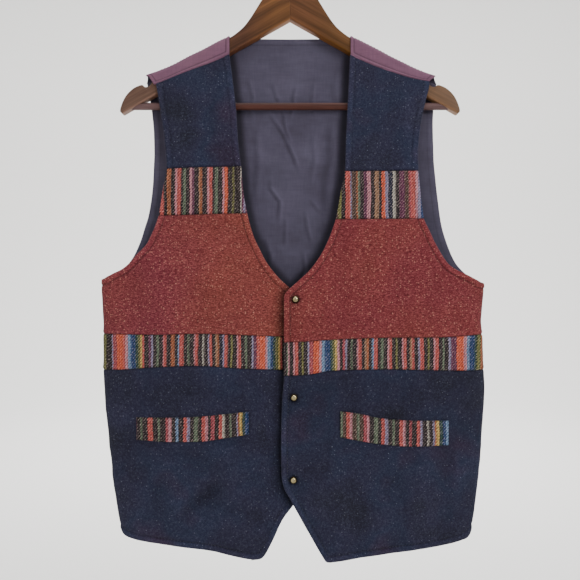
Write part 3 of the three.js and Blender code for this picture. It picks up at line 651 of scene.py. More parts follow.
class Finish:
    # A material and the few nodes that every finish here is made from
    def __init__(self, name, roughness, sheen=0.0, metallic=0.0, shine=0.5):
        self.material = bpy.data.materials.new(name)
        self.material.use_nodes = True
        self.tree = self.material.node_tree
        self.tree.nodes.clear()
        self.shader = self.tree.nodes.new("ShaderNodeBsdfPrincipled")
        output = self.tree.nodes.new("ShaderNodeOutputMaterial")
        self.tree.links.new(self.shader.outputs[0], output.inputs[0])
        self.shader.inputs["Roughness"].default_value = roughness
        self.shader.inputs["Metallic"].default_value = metallic
        self.shader.inputs["Sheen Weight"].default_value = sheen
        self.shader.inputs["Sheen Roughness"].default_value = 0.55
        self.shader.inputs["Specular IOR Level"].default_value = shine

    def node(self, kind, settings=None, values=None, output=0):
        # Adds a node, sets it, plugs signals or plain values into its inputs, and gives back one output
        made = self.tree.nodes.new(kind)
        for name, value in (settings or {}).items():
            if name == "stops":
                self.fillRamp(made.color_ramp, value)
            else:
                setattr(made, name, value)
        for name, value in (values or {}).items():
            if isinstance(value, Signal):
                self.tree.links.new(value.socket, made.inputs[name])
            else:
                made.inputs[name].default_value = value
        return Signal(self, made.outputs[output])

    def fillRamp(self, ramp, stops):
        # As many stops as there are colours, in their order
        while len(ramp.elements) < len(stops):
            ramp.elements.new(1.0)
        for element, (place, colour) in zip(ramp.elements, stops):
            element.position = place
            element.color = (*colour, 1)

    def place(self):
        # Place in the object's own frame, in metres
        return self.node("ShaderNodeTexCoord", output=3)

    def cloth(self):
        # Place on the cloth in metres: along the reach, and up
        spot = self.node("ShaderNodeUVMap", {"uv_map": "cloth"})
        return [self.node("ShaderNodeSeparateXYZ", values={0: spot}, output=axis) for axis in (0, 1)]

    def trim(self):
        # Distance from the edge, height and painted shade, as noteTrim keeps them
        return self.parts(self.node("ShaderNodeAttribute", {"attribute_name": "trim"}, output=1))

    def paintedShading(self, colour, inset=0.008, dark=0.35, hollow=62):
        # Painted shade: cloth is darker along its stitching, in its hollows, and by the painted shade of
        # its trim attribute, as where another piece would shade it. A painted highlight lights the rolled
        # strip outside the stitching.
        edge, height, shade = self.trim()
        line = (edge - inset).size().between(*paintedShadingLook["line"])
        rolled = edge.between(*(inset - place for place in paintedShadingLook["rolled"]))
        light = 1 + rolled * paintedShadingLook["rolledLight"]
        return self.scaled(colour, (1 + height * hollow) * (1 - line * dark) * light * (1 - shade))

    def parts(self, vector):
        # The three numbers of a vector
        return [self.node("ShaderNodeSeparateXYZ", values={0: vector}, output=axis) for axis in range(3)]

    def joined(self, x, y, z=0.0):
        # A vector of three numbers
        return self.node("ShaderNodeCombineXYZ", values={0: x, 1: y, 2: z})

    def stretched(self, vector, scale, turn=(0, 0, 0)):
        # A place scaled along each axis and then turned
        return self.node("ShaderNodeMapping", values={"Vector": vector, "Scale": scale, "Rotation": turn})

    def noise(self, vector, scale, detail=2.0, roughness=0.5, distortion=0.0):
        # Soft noise about one half, with so many cells a metre
        return self.node("ShaderNodeTexNoise", values={
            "Vector": vector, "Scale": scale, "Detail": detail, "Roughness": roughness,
            "Distortion": distortion})

    def flecks(self, vector, scale, size, share):
        # Round specks, about size of a cell wide, in a share of the cells
        cell = {"Vector": vector, "Scale": scale, "Randomness": 1.0}
        near = self.node("ShaderNodeTexVoronoi", values=cell)
        lot = self.node("ShaderNodeTexVoronoi", values=cell, output=1)
        chosen = self.parts(lot)[0] < share
        return (near < size) * chosen

    def specked(self, place, colour, look):
        # Specks of two kinds over a colour, each with its scale, size, share and strength
        small, large = (self.flecks(place, *kind) * strength for *kind, strength in look["specks"])
        return self.mix(small + large, colour, hexColour(look["speck"]))

    def ramp(self, factor, stops, interpolation="LINEAR"):
        # Turns a factor into the colours of its stops
        made = self.node("ShaderNodeValToRGB", {"stops": stops}, {0: factor})
        made.socket.node.color_ramp.interpolation = interpolation
        return made

    def mix(self, factor, first, second, kind="MIX"):
        # First colour where the factor is 0, and second where it is 1
        values = {0: factor, 6: self.paint(first), 7: self.paint(second)}
        return self.node("ShaderNodeMix", {"data_type": "RGBA", "blend_type": kind}, values, 2)

    def paint(self, colour):
        # A fixed colour with its alpha, or a signal as it is
        return colour if isinstance(colour, Signal) else (*colour, 1)

    def scaled(self, colour, amount):
        # A colour made lighter or darker by a varying amount
        grey = self.joined(amount, amount, amount)
        return self.mix(1.0, colour, grey, "MULTIPLY")

    def bump(self, height, strength, distance):
        # A normal bent by a height, whose whole range stands for the distance in metres
        return self.node("ShaderNodeBump", values={
            "Strength": strength, "Distance": distance, "Height": height})

    def wear(self, colour=None, roughness=None, normal=None):
        # Plugs what varies over the surface into the shader
        for name, signal in (("Base Color", colour), ("Roughness", roughness), ("Normal", normal)):
            if signal is not None:
                self.tree.links.new(signal.socket, self.shader.inputs[name])
        return self.material


def hexColour(code):
    # A six-figure screen colour as the linear numbers that Blender's shaders use
    channels = [int(code[at:at + 2], 16) / 255 for at in (0, 2, 4)]
    return tuple(c / 12.92 if c <= 0.04045 else ((c + 0.055) / 1.055) ** 2.4 for c in channels)


def stopsOf(places, codes):
    # A ramp's stops: places from 0 to 1 and the colours of their codes
    return [(place, hexColour(code)) for place, code in zip(places, codes)]


tweedLook = {
    # side: dark, plain and light red
    "left": ("391116", "64262c", "884a4a"), "right": ("3b1219", "652730", "8c4d4e"),
    "warm": ("46201a", "733a2a", "955944"), "redPlaces": (0.34, 0.49, 0.66),
    "warmPlaces": (0.35, 0.49, 0.65), "coarse": 640, "grain": 900, "patches": 14, "patchShare": 0.3,
    # hollow: how much painted shade the finish puts in the cloth's hollows
    "warmFrom": -0.17, "warmTo": -0.02, "warmShare": 0.45, "hollow": 80, "curls": 0.5, "flat": 0.3,
    "bump": (0.5, 0.0006),
    # scale, size, share and strength of the small and the large specks
    "speck": "c99480", "specks": ((380, 0.3, 0.3, 0.32), (190, 0.15, 0.26, 0.42)),
}


def redTweed(name, side):
    # Short curly fibres of three reds, a fine horizontal grain and pale specks of two sizes. The right
    # front turns a warmer red towards the middle.
    finish = Finish(name, 0.95, sheen=0.06, shine=0.12)
    place = finish.place()
    curls = finish.noise(place, tweedLook["coarse"], 3, 0.7, 0.5)
    grain = finish.noise(finish.stretched(place, (tweedLook["flat"], 1, 1)), tweedLook["grain"], 2, 0.7)
    tone = curls * tweedLook["curls"] + grain * (1 - tweedLook["curls"])
    colour = finish.ramp(tone, stopsOf(tweedLook["redPlaces"], tweedLook[side]))
    patches = finish.noise(place, tweedLook["patches"], 2).between(0.35, 0.75) * tweedLook["patchShare"]
    if side == "right":
        inwards = finish.parts(place)[0].between(tweedLook["warmFrom"], tweedLook["warmTo"])
        patches = patches + inwards * tweedLook["warmShare"]
    warm = finish.ramp(tone, stopsOf(tweedLook["warmPlaces"], tweedLook["warm"]))
    flecked = finish.specked(place, finish.mix(patches, colour, warm), tweedLook)
    tweed = finish.paintedShading(flecked, hollow=tweedLook["hollow"])
    return finish.wear(tweed, normal=finish.bump(tone, *tweedLook["bump"]))


woolLook = {
    # deep, plain, blue and violet
    "tones": ("1e1e2a", "232234", "212538", "2b2234"), "places": (0.32, 0.45, 0.56, 0.7),
    # the stitching and hollow numbers set the painted shade along the stitching and in the cloth's hollows
    "fibre": "474a5f", "gap": "0e0e14", "clouds": 11, "fibres": 420, "stitchLineShade": 0.16, "hollow": 135,
    "fibrePlaces": (0.5, 0.8), "gapPlaces": (0.5, 0.22), "share": 0.6, "bump": (0.45, 0.0006),
    # scale, size, share and strength of the small and the large specks
    "speck": "8f96a8", "specks": ((300, 0.19, 0.2, 0.22), (150, 0.085, 0.14, 0.4)),
}


def navyWool(name, seed):
    # Felted wool: soft patches of four dark blues under fine fibres, with a few pale specks
    finish = Finish(name, 0.96, sheen=0.05, shine=0.12)
    place = finish.place()
    moved = finish.joined(*[part + seed for part in finish.parts(place)])
    clouds = finish.noise(moved, woolLook["clouds"], 3, 0.55)
    fibres = finish.noise(place, woolLook["fibres"], 3, 0.75, 0.8)
    colour = finish.ramp(clouds, stopsOf(woolLook["places"], woolLook["tones"]))
    for kind in ("fibre", "gap"):
        share = fibres.between(*woolLook[kind + "Places"]) * woolLook["share"]
        colour = finish.mix(share, colour, hexColour(woolLook[kind]))
    flecked = finish.specked(place, colour, woolLook)
    felt = finish.paintedShading(flecked, dark=woolLook["stitchLineShade"], hollow=woolLook["hollow"])
    return finish.wear(felt, normal=finish.bump(fibres, *woolLook["bump"]))


cottonLook = {
    "threads": 560, "along": 0.1, "warp": 0.5, "clouds": 22, "patches": (0.3, 0.8),
    "tone": (0.62, 0.69), "bump": (0.25, 0.0004),
}


def plainCotton(name, colour, shade, inset=0.008, dark=0.35, hollow=62):
    # Plain cotton: uneven threads each way, a soft cloudiness, and patches of a second colour, with
    # painted shade along its stitching and in its hollows
    finish = Finish(name, 0.85, sheen=0.04, shine=0.15)
    place = finish.place()
    along = cottonLook["along"]
    warp = finish.noise(finish.stretched(place, (1, 1, along)), cottonLook["threads"], 2, 0.7)
    weft = finish.noise(finish.stretched(place, (along, 1, 1)), cottonLook["threads"], 2, 0.7)
    clouds = finish.noise(place, cottonLook["clouds"], 3, 0.5)
    weave = warp * cottonLook["warp"] + weft * (1 - cottonLook["warp"])
    tone = finish.mix(clouds.between(*cottonLook["patches"]), hexColour(colour), hexColour(shade))
    cotton = finish.paintedShading(finish.scaled(tone, weave.line(*cottonLook["tone"])), inset, dark, hollow)
    return finish.wear(cotton, normal=finish.bump(weave, *cottonLook["bump"]))


# Blanket cloth: a chart gives its warp from the viewer's left to right, a yarn and a width in
# millimetres at a time, beginning at a place along the cloth
yarns = {
    "dark": "2a2325", "night": "232432", "olive": "5e5c36", "yellow": "a98c4e", "coral": "9b4743",
    "orange": "ae4c35", "rust": "874f36", "pink": "9f6a72", "lilac": "736a80", "sky": "5b718c",
    "blue": "233659", "green": "2a3c37", "sage": "535d4d", "cream": "918b81", "plum": "532c40",
    "crimson": "853c43", "tan": "80614c", "brown": "43332d",
}
charts = {
    "rightWaist": (-256, """dark 12, olive 6.5, dark 6, lilac 1.5, crimson 5.5, orange 8.5, coral 3,
        pink 3.5, sky 4, blue 6, green 3.5, olive 3.5, yellow 2, coral 2.5, dark 6, plum 3, lilac 2.5,
        dark 4.5, sage 3, dark 5, pink 1.5, coral 3.5, dark 5.5, rust 5.5, dark 4, sky 2, coral 5.5,
        dark 4.5, sage 3, dark 5.5, pink 2, coral 3.5, dark 5.5, cream 2.5, dark 5, lilac 1.5, coral
        3.5, dark 4.5, tan 2.5, rust 2, dark 2, night 3, lilac 2, coral 4, dark 4, olive 2.5, dark 5.5,
        pink 2, coral 3.5, dark 4.5, sage 3, dark 6, lilac 2.5, plum 4, coral 4, orange 7, pink 2.5, sky
        4, blue 3.5, green 3.5, olive 3.5, yellow 2.5, coral 2.5, dark 9.5, sage 3, dark 14"""),
    "leftWaist": (-14, """dark 10.5, sage 1.5, pink 2, dark 4.5, pink 2, coral 4, dark 4.5, olive 2.5,
        dark 5, lilac 2.5, crimson 5, orange 7.5, pink 3.5, sky 4, blue 6.5, green 3.5, olive 3, yellow
        3, pink 3, dark 4, crimson 3, lilac 2.5, dark 4.5, sage 2.5, dark 5.5, pink 2, coral 4, dark
        4.5, tan 2, rust 3, dark 4, sky 2.5, coral 5, dark 4, sage 4, dark 5, pink 2, coral 3.5, dark 5,
        olive 2.5, dark 6, pink 2, coral 4, dark 4, tan 2.5, coral 3, dark 5, lilac 2.5, coral 5, dark
        5, olive 2.5, dark 5.5, pink 2, coral 4.5, dark 5, sage 2.5, dark 5.5, lilac 3.5, plum 7.5,
        orange 9.5, pink 4, sky 3.5, blue 7, green 2.5, olive 4, rust 5, dark 12"""),
    "rightUpper": (-173, """dark 4.5, coral 5.5, dark 4, rust 5, dark 5, pink 3, coral 4.5, dark 3, sage
        4, dark 5, pink 3.5, plum 3, dark 5.5, tan 1.5, rust 3, dark 6, pink 2.5, coral 4, dark 3.5,
        sage 4, dark 6, pink 2.5, orange 4, dark 6.5, olive 2.5, dark 8, cream 1.5, plum 2.5, lilac 2.5,
        plum 6"""),
    "leftUpper": (57, """brown 5, olive 4.5, dark 5.5, coral 6, lilac 2, brown 6, rust 2, sage 3, dark
        4.5, plum 4.5, pink 4.5, dark 5.5, tan 5, dark 4, orange 4.5, lilac 4, night 5.5, cream 4, dark
        5, plum 6.5, brown 5.5, crimson 3, coral 6, pink 2.5, lilac 4, blue 12"""),
    "rightWelt": (-201, """plum 3.5, dark 5, sage 2.5, dark 7, coral 6.5, dark 6.5, sage 3, dark 7.5,
        crimson 3, pink 4.5, dark 5.5, sky 3.5, dark 6.5, coral 4.5, lilac 3.5, dark 5, sage 5.5, dark
        5, coral 4.5, pink 3, dark 4, crimson 5, dark 5.5, coral 4.5, cream 3, dark 6.5, sage 2.5, dark
        6.5, lilac 2, rust 2, yellow 3.5, green 3.5, blue 12"""),
    "leftWelt": (62, """dark 2.5, sage 3.5, brown 4.5, coral 4.5, pink 3, brown 5.5, sage 4, brown 5,
        crimson 4.5, pink 3, dark 6, sage 5, dark 4.5, coral 4.5, lilac 4, dark 5.5, sage 3, dark 6.5,
        coral 4.5, pink 3, dark 5, crimson 3, dark 6.5, coral 4.5, lilac 3, dark 6, cream 2.5, dark 5,
        lilac 2.5, rust 2, yellow 4, green 4.5, blue 4.5, sky 6"""),
}
weaveLook = {
    "yarnPitch": 0.0038, "twistPitch": 0.0044, "wobble": 0.0028, "fuzz": 0.0024, "mostStops": 31,
    "serration": 0.0009, "tuft": "c9b4ac", "weft": "3a2c2e", "slow": 45, "fast": 620, "curl": 360,
    "grit": 480, "gritPlaces": (0.3, 0.7), "streaks": (620, 40), "weftThreads": (260, 620),
    "slantCurl": 1.3, "yarnSlow": 0.8, "tuftPlaces": (0.4, 0.85), "weftPlaces": (0.58, 0.8), "over": 0.4,
    # how much of each goes into the tone, and its level
    "twistTone": 0.7, "streakTone": 0.28, "yarnTone": 0.36, "gritTone": 0.7, "level": -0.1,
    # the stitching number sets the painted shade along the stitching
    "stitchLineShade": 0.3, "relief": (0.6, 0.4, 0.3), "bump": (0.6, 0.0008),
}


def readChart(chart):
    # The colours of a chart's stripes, and the places in metres where they begin and the last one ends
    start, text = chart
    colours, edges = [], [start]
    for entry in text.split(","):
        yarn, width = entry.split()
        colours.append(hexColour(yarns[yarn]))
        edges.append(edges[-1] + float(width))
    return colours, np.array(edges) * millimetre


def stripedWeave(name, chart):
    # Warp stripes along the chart with slightly wavering edges, made of twisted yarns that show as
    # slanted light and dark marks, with an uneven tone along each yarn
    finish = Finish(name, 0.93, sheen=0.05, shine=0.12)
    u, v = finish.cloth()
    spot = finish.joined(u, v)
    slow = finish.noise(spot, weaveLook["slow"], 2) - 0.5
    fast = finish.noise(spot, weaveLook["fast"], 1) - 0.5
    curl = finish.noise(spot, weaveLook["curl"], 2, 0.7)
    slant = v / weaveLook["twistPitch"] - u / weaveLook["yarnPitch"] + curl * weaveLook["slantCurl"]
    twist = (slant * (2 * math.pi)).sine().line(0.5, 0.5)
    across = u + slow * weaveLook["wobble"] + fast * weaveLook["fuzz"] + twist * weaveLook["serration"]
    colours, edges = readChart(chart)
    whole = None
    for first in range(0, len(colours), weaveLook["mostStops"]):
        group = colours[first:first + weaveLook["mostStops"]]
        low, high = edges[first], edges[first + len(group)]
        stops = [(float((edge - low) / (high - low)), colour) for edge, colour in zip(edges[first:], group)]
        part = finish.ramp(across.between(float(low), float(high)), stops, "CONSTANT")
        whole = part if whole is None else finish.mix(across > float(low), whole, part)
    fine, long = weaveLook["streaks"]
    streaks = finish.noise(finish.joined(u * fine, v * long), 1, 2)
    beat = u / weaveLook["yarnPitch"] + slow * weaveLook["yarnSlow"]
    yarn = (beat * (2 * math.pi)).sine().line(0.5, 0.5)
    grit = finish.noise(spot, weaveLook["grit"], 2, 0.8).between(*weaveLook["gritPlaces"])
    tone = twist * weaveLook["twistTone"] + streaks * weaveLook["streakTone"]
    tone = tone + yarn * weaveLook["yarnTone"] + grit * weaveLook["gritTone"] + weaveLook["level"]
    tuft = (twist * grit).between(*weaveLook["tuftPlaces"]) * weaveLook["over"]
    colour = finish.mix(tuft, finish.scaled(whole, tone), hexColour(weaveLook["tuft"]))
    long, fine = weaveLook["weftThreads"]
    weft = finish.noise(finish.joined(u * long, v * fine), 1, 2).between(*weaveLook["weftPlaces"])
    colour = finish.mix(weft * weaveLook["over"], colour, hexColour(weaveLook["weft"]))
    colour = finish.paintedShading(colour, dark=weaveLook["stitchLineShade"])
    high, middle, low = weaveLook["relief"]
    relief = twist * high + yarn * middle + curl * low
    return finish.wear(colour, normal=finish.bump(relief, *weaveLook["bump"]))


woodLook = {
    "places": (0.3, 0.5, 0.7), "rings": (3, 80, 80), "ringScale": 1.6, "pores": (22, 620, 620),
    "paleReach": (0.13, 0.185), "jointReach": (0.06, 0.02),
    # how the rings or the pores come through, as a steepness and a start
    "paleRings": (0.9, 0.4), "jointRings": (0.8, 0.5), "jointTone": (1.7, 0.3), "poreTone": (0.9, 0.55),
    "poreRoughness": (0.2, 0.38), "bump": (0.12, 0.0003),
    "roughness": 0.42, "coat": 0.03, "coatRoughness": 0.3,
}


def stainedWood(name, turn, tones, paleEnd, joint):
    # Stained wood: long streaks along the grain, which runs along X once it is turned. It is paler
    # towards the outer end, which on the bar is a painted highlight, it has painted light underneath
    # where its trim attribute says so, and it has a colour of its own beside the joint.
    finish = Finish(name, woodLook["roughness"], shine=0.15)
    finish.shader.inputs["Coat Weight"].default_value = woodLook["coat"]
    finish.shader.inputs["Coat Roughness"].default_value = woodLook["coatRoughness"]
    reach = finish.parts(finish.place())[0].size()
    place = finish.stretched(finish.place(), (1, 1, 1), (0, turn, 0))
    rings = finish.noise(finish.stretched(place, woodLook["rings"]), woodLook["ringScale"], 3, 0.6, 0.5)
    pores = finish.noise(finish.stretched(place, woodLook["pores"]), 1, 2, 0.7)
    colour = finish.ramp(rings, stopsOf(woodLook["places"], tones))
    outer = reach.between(*woodLook["paleReach"]) * rings.line(*woodLook["paleRings"])
    colour = finish.mix(outer, colour, hexColour(paleEnd))
    inner = reach.between(*woodLook["jointReach"]) * rings.line(*woodLook["jointRings"])
    jointColour = finish.scaled(hexColour(joint), rings.line(*woodLook["jointTone"]))
    colour = finish.mix(inner, colour, jointColour)
    colour = finish.scaled(colour, pores.line(*woodLook["poreTone"]) * (1 - finish.trim()[2]))
    rough = pores.line(*woodLook["poreRoughness"])
    return finish.wear(colour, rough, finish.bump(pores, *woodLook["bump"]))


metalLook = {"tarnish": 260, "places": (0.4, 0.8), "uneven": 0.2}
threadLook = {"ply": 1500, "tone": (0.8, 0.6)}


def castMetal(name, colour, shade, roughness):
    # Bright metal with a little tarnish, darker by the painted reflection that its mesh's trim attribute
    # holds, as on a snap's dome
    finish = Finish(name, roughness, metallic=1.0)
    tarnish = finish.noise(finish.place(), metalLook["tarnish"], 3)
    tone = finish.mix(tarnish.between(*metalLook["places"]), hexColour(colour), hexColour(shade))
    rough = tarnish.line(metalLook["uneven"], roughness - metalLook["uneven"] / 2)
    return finish.wear(finish.scaled(tone, 1 - finish.trim()[2]), rough)


def threadFinish(name, colour):
    # Sewing thread, lighter and darker with its ply
    finish = Finish(name, 0.8, sheen=0.1)
    ply = finish.noise(finish.place(), threadLook["ply"], 2)
    return finish.wear(finish.scaled(hexColour(colour), ply.line(*threadLook["tone"])))


navy = {"left": navyWool("navyWoolLeft", 0.0), "right": navyWool("navyWoolRight", 3.7)}
tweed = {side: redTweed("redTweed" + side.title(), side) for side in ("left", "right")}
striped = {name: stripedWeave(name + "Stripes", chart) for name, chart in charts.items()}
# The last numbers of each cotton set its painted shade: where its stitching runs, how dark, and how much in
# its hollows
mauve = plainCotton("mauveCotton", "6b4b5b", "65475a", hollow=170)
stripMauve = plainCotton("stripCotton", "6e4c5e", "644458", 0.0045, 0.4)
lining = plainCotton("greyLining", "484454", "443f4f", 0.008, 0.14, 190)
bodyLining = plainCotton("frontLining", "423e4e", "3b3747", -1)
brass = castMetal("snapBrass", "bcae86", "857a58", 0.16)
# Near-black metal for the snaps' flanges: painted shade of the cloth's dent round each dome
paintedShadeBrass = castMetal("snapRim", "3c3020", "241c14", 0.45)
armLean = 0.513
woodLeft = stainedWood("armWoodLeft", -armLean, ("3e2710", "4e3114", "5d3d20"), "654b37", "52331e")
woodRight = stainedWood("armWoodRight", armLean, ("3a2317", "4a2e1f", "5a3a28"), "5e473c", "5e3d20")
# The bar's pale outer colour is a painted highlight where the bar is lit
woodBar = stainedWood("barWood", 0.0, ("2e1814", "40241e", "5a362e"), "604a4a", "40241e")
wire = castMetal("hookWire", "c4c4c8", "a8a8ac", 0.25)
navyThread = threadFinish("navyThread", "12141e")
redThread = threadFinish("redThread", "3e1216")
mauveThread = threadFinish("mauveThread", "46283c")


def finished(made, materials, node):
    # Dresses a piece with its materials, hides its solid, and ties it to the body
    for material in materials:
        made.data.materials.append(material)
    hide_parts(node)
    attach(made, "root")


def asCloth(a, b):
    # Size and area of a piece as it lies cut flat, from its grid of reaches and drops; none are kept
    width, length = (float(np.ptp(part)) * millimetre for part in (a, b))
    float(cutArea(a, b))


print("stage: fronts")

# Grid of each front piece: a step, its breadth and the lengths of its stretches, and its material slot
frontGrid = {
    "step": 1.9, "yoke": (105, [148], "navy_wool"), "upper_band": (108, [62], "striped_weave"),
    "chest": (250, [70, 84], "red_tweed"), "waist_band": (262, [44], "striped_weave"),
    "skirt": (250, [225], "navy_wool"),
}


def addFront(side):
    # The five pieces of a front, each between its edges and two levels, on the same form. The chest has
    # a third level at the armpit, where its side seam turns into the armhole.
    name = side["name"]
    half = form["seamGap"] / 2
    relief, rim, shade = frontRelief(side)
    surface = lambda reach, drop: clothPoint("front", side["sign"], reach, drop)
    inner = lambda drop: curveAt(side["edge"], "drop", "reach", drop)
    outer = lambda drop: outerEdge(side, "front", drop)
    seam = lambda column, shift: lambda reach: curveAt(side["seams"], "reach", column, reach) + shift
    shoulder = lambda reach: curveAt(side["stripSeam"], "reach", "drop", reach) + half
    hem = lambda reach: curveAt(side["hem"], "reach", "drop", reach)
    armpit = lambda reach: np.full(np.shape(reach), float(side["armpit"]))
    layout = {
        # piece: levels from below, and finish
        "yoke": ([seam("yoke", -half), shoulder], navy[name]),
        "upper_band": ([seam("band", -half), seam("yoke", half)], striped[name + "Upper"]),
        "chest": ([seam("chest", -half), armpit, seam("band", half)], tweed[name]),
        "waist_band": ([seam("waist", -half), seam("chest", half)], striped[name + "Waist"]),
        "skirt": ([hem, seam("waist", half)], navy[name]),
    }
    for piece, (levels, finish) in layout.items():
        breadth, lengths, slot = frontGrid[piece]
        rows = chained([(length, frontGrid["step"]) for length in lengths])
        across, up = np.meshgrid(shares(breadth, frontGrid["step"]), rows)
        reach, drop = panelPlace(inner, outer, levels, across, up)
        made = clothShell(name + piece.title().replace("_", ""), surface, reach, drop, relief, rim,
                          wall["wool"], flipped=side["sign"] < 0, mirror=side["sign"], shade=shade)
        finished(made, [finish, bodyLining], name + "_front_" + piece)
        asCloth(reach, drop)
    return surface, relief


leftSurface, leftRelief = addFront(leftSide)
rightSurface, rightRelief = addFront(rightSide)


print("stage: back and lining")

# Creases of the back and of the lining: depth, half width, and the bent line in X and drop
backCreases = [
    (0.8, 10, [(-150, 250), (-120, 330), (-128, 420)]), (0.7, 9, [(-60, 190), (-44, 270), (-56, 350)]),
    (0.9, 11, [(8, 200), (20, 300), (6, 390)]), (0.7, 9, [(90, 180), (76, 260), (92, 330)]),
    (0.8, 10, [(150, 260), (128, 350), (138, 440)]), (0.8, 10, [(-200, 500), (-160, 520), (-110, 516)]),
    (0.9, 11, [(205, 505), (165, 522), (120, 512)]), (0.8, 10, [(-100, 600), (-90, 670), (-104, 740)]),
    (0.7, 9, [(60, 560), (72, 640), (60, 720)]), (0.8, 10, [(180, 610), (170, 680), (182, 745)]),
    (0.6, 8, [(-30, 640), (-22, 690), (-34, 735)]), (0.6, 8, [(-190, 650), (-176, 700), (-184, 750)]),
]
liningCreases = [
    (1.5, 2.7, [(-34, 226), (-11, 258), (3, 290), (12, 314)]),
    (1.3, 2.2, [(-12, 224), (-8, 252), (2, 276)]),
    (1.4, 2.6, [(-29, 314), (-29, 330), (-16, 348), (-18, 384)]), (1.2, 2.2, [(6, 192), (-1, 240)]),
    (1.1, 2.4, [(17, 357), (21, 382), (27, 408)]), (1.3, 2.6, [(15, 412), (18, 438), (12, 458)]),
    (1.3, 5.5, [(50, 226), (52, 290), (45, 325), (44, 382)]), (0.8, 2.6, [(24, 344), (36, 360), (48, 366)]),
    (0.8, 2.4, [(-8, 366), (-9, 412)]), (0.8, 4, [(-50, 240), (-46, 300), (-52, 360)]),
    (0.7, 3, [(26, 250), (30, 292), (24, 330)]), (0.7, 4, [(60, 160), (56, 200), (60, 240)]),
    (0.8, 3.6, [(-40, 390), (-30, 420), (-34, 450)]), (0.7, 3, [(-60, 178), (-52, 210), (-56, 250)]),
    (0.7, 2.2, [(30, 186), (27, 214), (31, 240)]), (0.8, 2.6, [(-26, 190), (-20, 212), (-12, 224)]),
]
backForm = {
    "sideFade": 240, "neckHalf": 77, "neckPoints": 40, "hemHalf": 247, "hemPoints": 90,
    "deepest": -1.0, "highest": 3.0,
}
liningSet = {
    # How far it stands off and from where, below the underside of the hanger
    "depth": 1.9, "fade": 42, "apex": 111.1, "slope": 0.563, "start": 4, "gap": 0.35, "nearest": 0.1,
    # neckShade is the painted shadow of the fronts' neck edges: how dark, from where, and over how far
    "stitching": 0.5, "neckShade": (0.62, 2.5, 9.5), "sideShade": (0.12, 150, 20),
}
# Grids of both: half of the breadth, and the stretches from the hem up, each with its length, its step
# and whether its start and its end are rounded off. The lining's is finest in the neck opening.
roundStart, roundEnd, plainEnds = (True, False), (False, True), (False, False)
backGrid = {"half": (245, 3.1, roundEnd), "rows": [
    (190, 3.5, roundStart), (42, 3.5, plainEnds), (70, 3.5, plainEnds), (320, 3.1, roundEnd)]}
liningGrid = {"neckShare": 0.42, "neck": (104, 1.8, plainEnds), "beyond": (141, 4.2, roundEnd), "rows": [
    (190, 6, roundStart), (42, 6, plainEnds), (70, 4, plainEnds), (320, 1.9, roundEnd)]}


def backLevels(side):
    # Levels of the back from the hem up. At the sides they meet the front's own, and towards the middle
    # they turn into the mean of both sides.
    def towards(value):
        # From the mean of both sides' values at the middle to the side's own
        middle = (value(leftSide, 0.0) + value(rightSide, 0.0)) / 2
        return lambda reach: blend(middle, value(side, reach), ease(reach / backForm["sideFade"]))

    def seam(column):
        return towards(lambda at, reach: curveAt(at["seams"], "reach", column, reach))

    return [
        lambda reach: curveAt(backHem, "reach", "drop", reach), seam("waist"), seam("chest"),
        towards(lambda at, reach: np.full(np.shape(reach), float(at["armpit"]))),
        lambda reach: curveAt(backTop, "reach", "drop", reach) + form["seamGap"] / 2,
    ]


def backPlace(half, rows):
    # X and drop of the places of a grid, from the shares of half its breadth and its rows
    across, up = np.meshgrid(np.concatenate([-half[:0:-1], half]), rows)
    found = {}
    for side in (leftSide, rightSide):
        outer = lambda drop: outerEdge(side, "back", drop)
        found[side["sign"]] = panelPlace(np.zeros_like, outer, backLevels(side), np.abs(across), up)
    reach = np.where(across < 0, -found[-1][0], found[1][0])
    return reach, np.where(across < 0, found[-1][1], found[1][1])


def backSurface(x, drop):
    # Outside of the back, which takes the side from the sign of X
    return clothPoint("back", np.where(x < 0, -1, 1), np.abs(x), drop)


def backBorders():
    # Paths of the back's open edges in X and drop
    neckPlace = np.linspace(-backForm["neckHalf"], backForm["neckHalf"], backForm["neckPoints"])
    hemPlace = np.linspace(-backForm["hemHalf"], backForm["hemHalf"], backForm["hemPoints"])
    neck = np.stack([neckPlace, curveAt(backTop, "reach", "drop", np.abs(neckPlace))], -1)
    hem = np.stack([hemPlace, curveAt(backHem, "reach", "drop", np.abs(hemPlace))], -1)
    holes = [armholePath(side, "back") * [side["sign"], 1] for side in (leftSide, rightSide)]
    return {"neck": neck, "hem": hem, "leftHole": holes[0], "rightHole": holes[1]}


borders = backBorders()


def borderGap(x, drop):
    # Distance to the nearest open edge
    return np.min([nearest(path, x, drop)[0] for path in borders.values()], axis=0)


def borderStitching(x, drop):
    # Height of the stitched edges all round
    return sum(stitchedEdge(*nearest(path, x, drop)) for path in borders.values())


def backRelief(x, drop):
    # The back's finer form: stitched edges, creases and a little waviness, never deeper than its wall
    height = borderStitching(x, drop) + creaseHeight(backCreases, x, drop)
    height = height + waviness(waves["back"], x, drop)
    return np.clip(height, backForm["deepest"], backForm["highest"])


def looseness(x, drop):
    # The lining lies on the back above the underside of the hanger and hangs free below it
    free = liningSet["apex"] + liningSet["slope"] * np.abs(x) + liningSet["start"]
    return ease((drop - free) / liningSet["fade"])


def liningForm(x, drop):
    # Height of the lining's form as seen in the neck: its stitching, and its creases where it is loose
    loose = creaseHeight(liningCreases, x, drop) + waviness(waves["lining"], x, drop)
    return liningSet["stitching"] * borderStitching(x, drop) + looseness(x, drop) * loose


def liningRelief(x, drop):
    # The lining is seen from its inner side, so its form is turned round
    height = -liningSet["depth"] * looseness(x, drop) - liningForm(x, drop)
    return np.minimum(height, liningSet["nearest"])


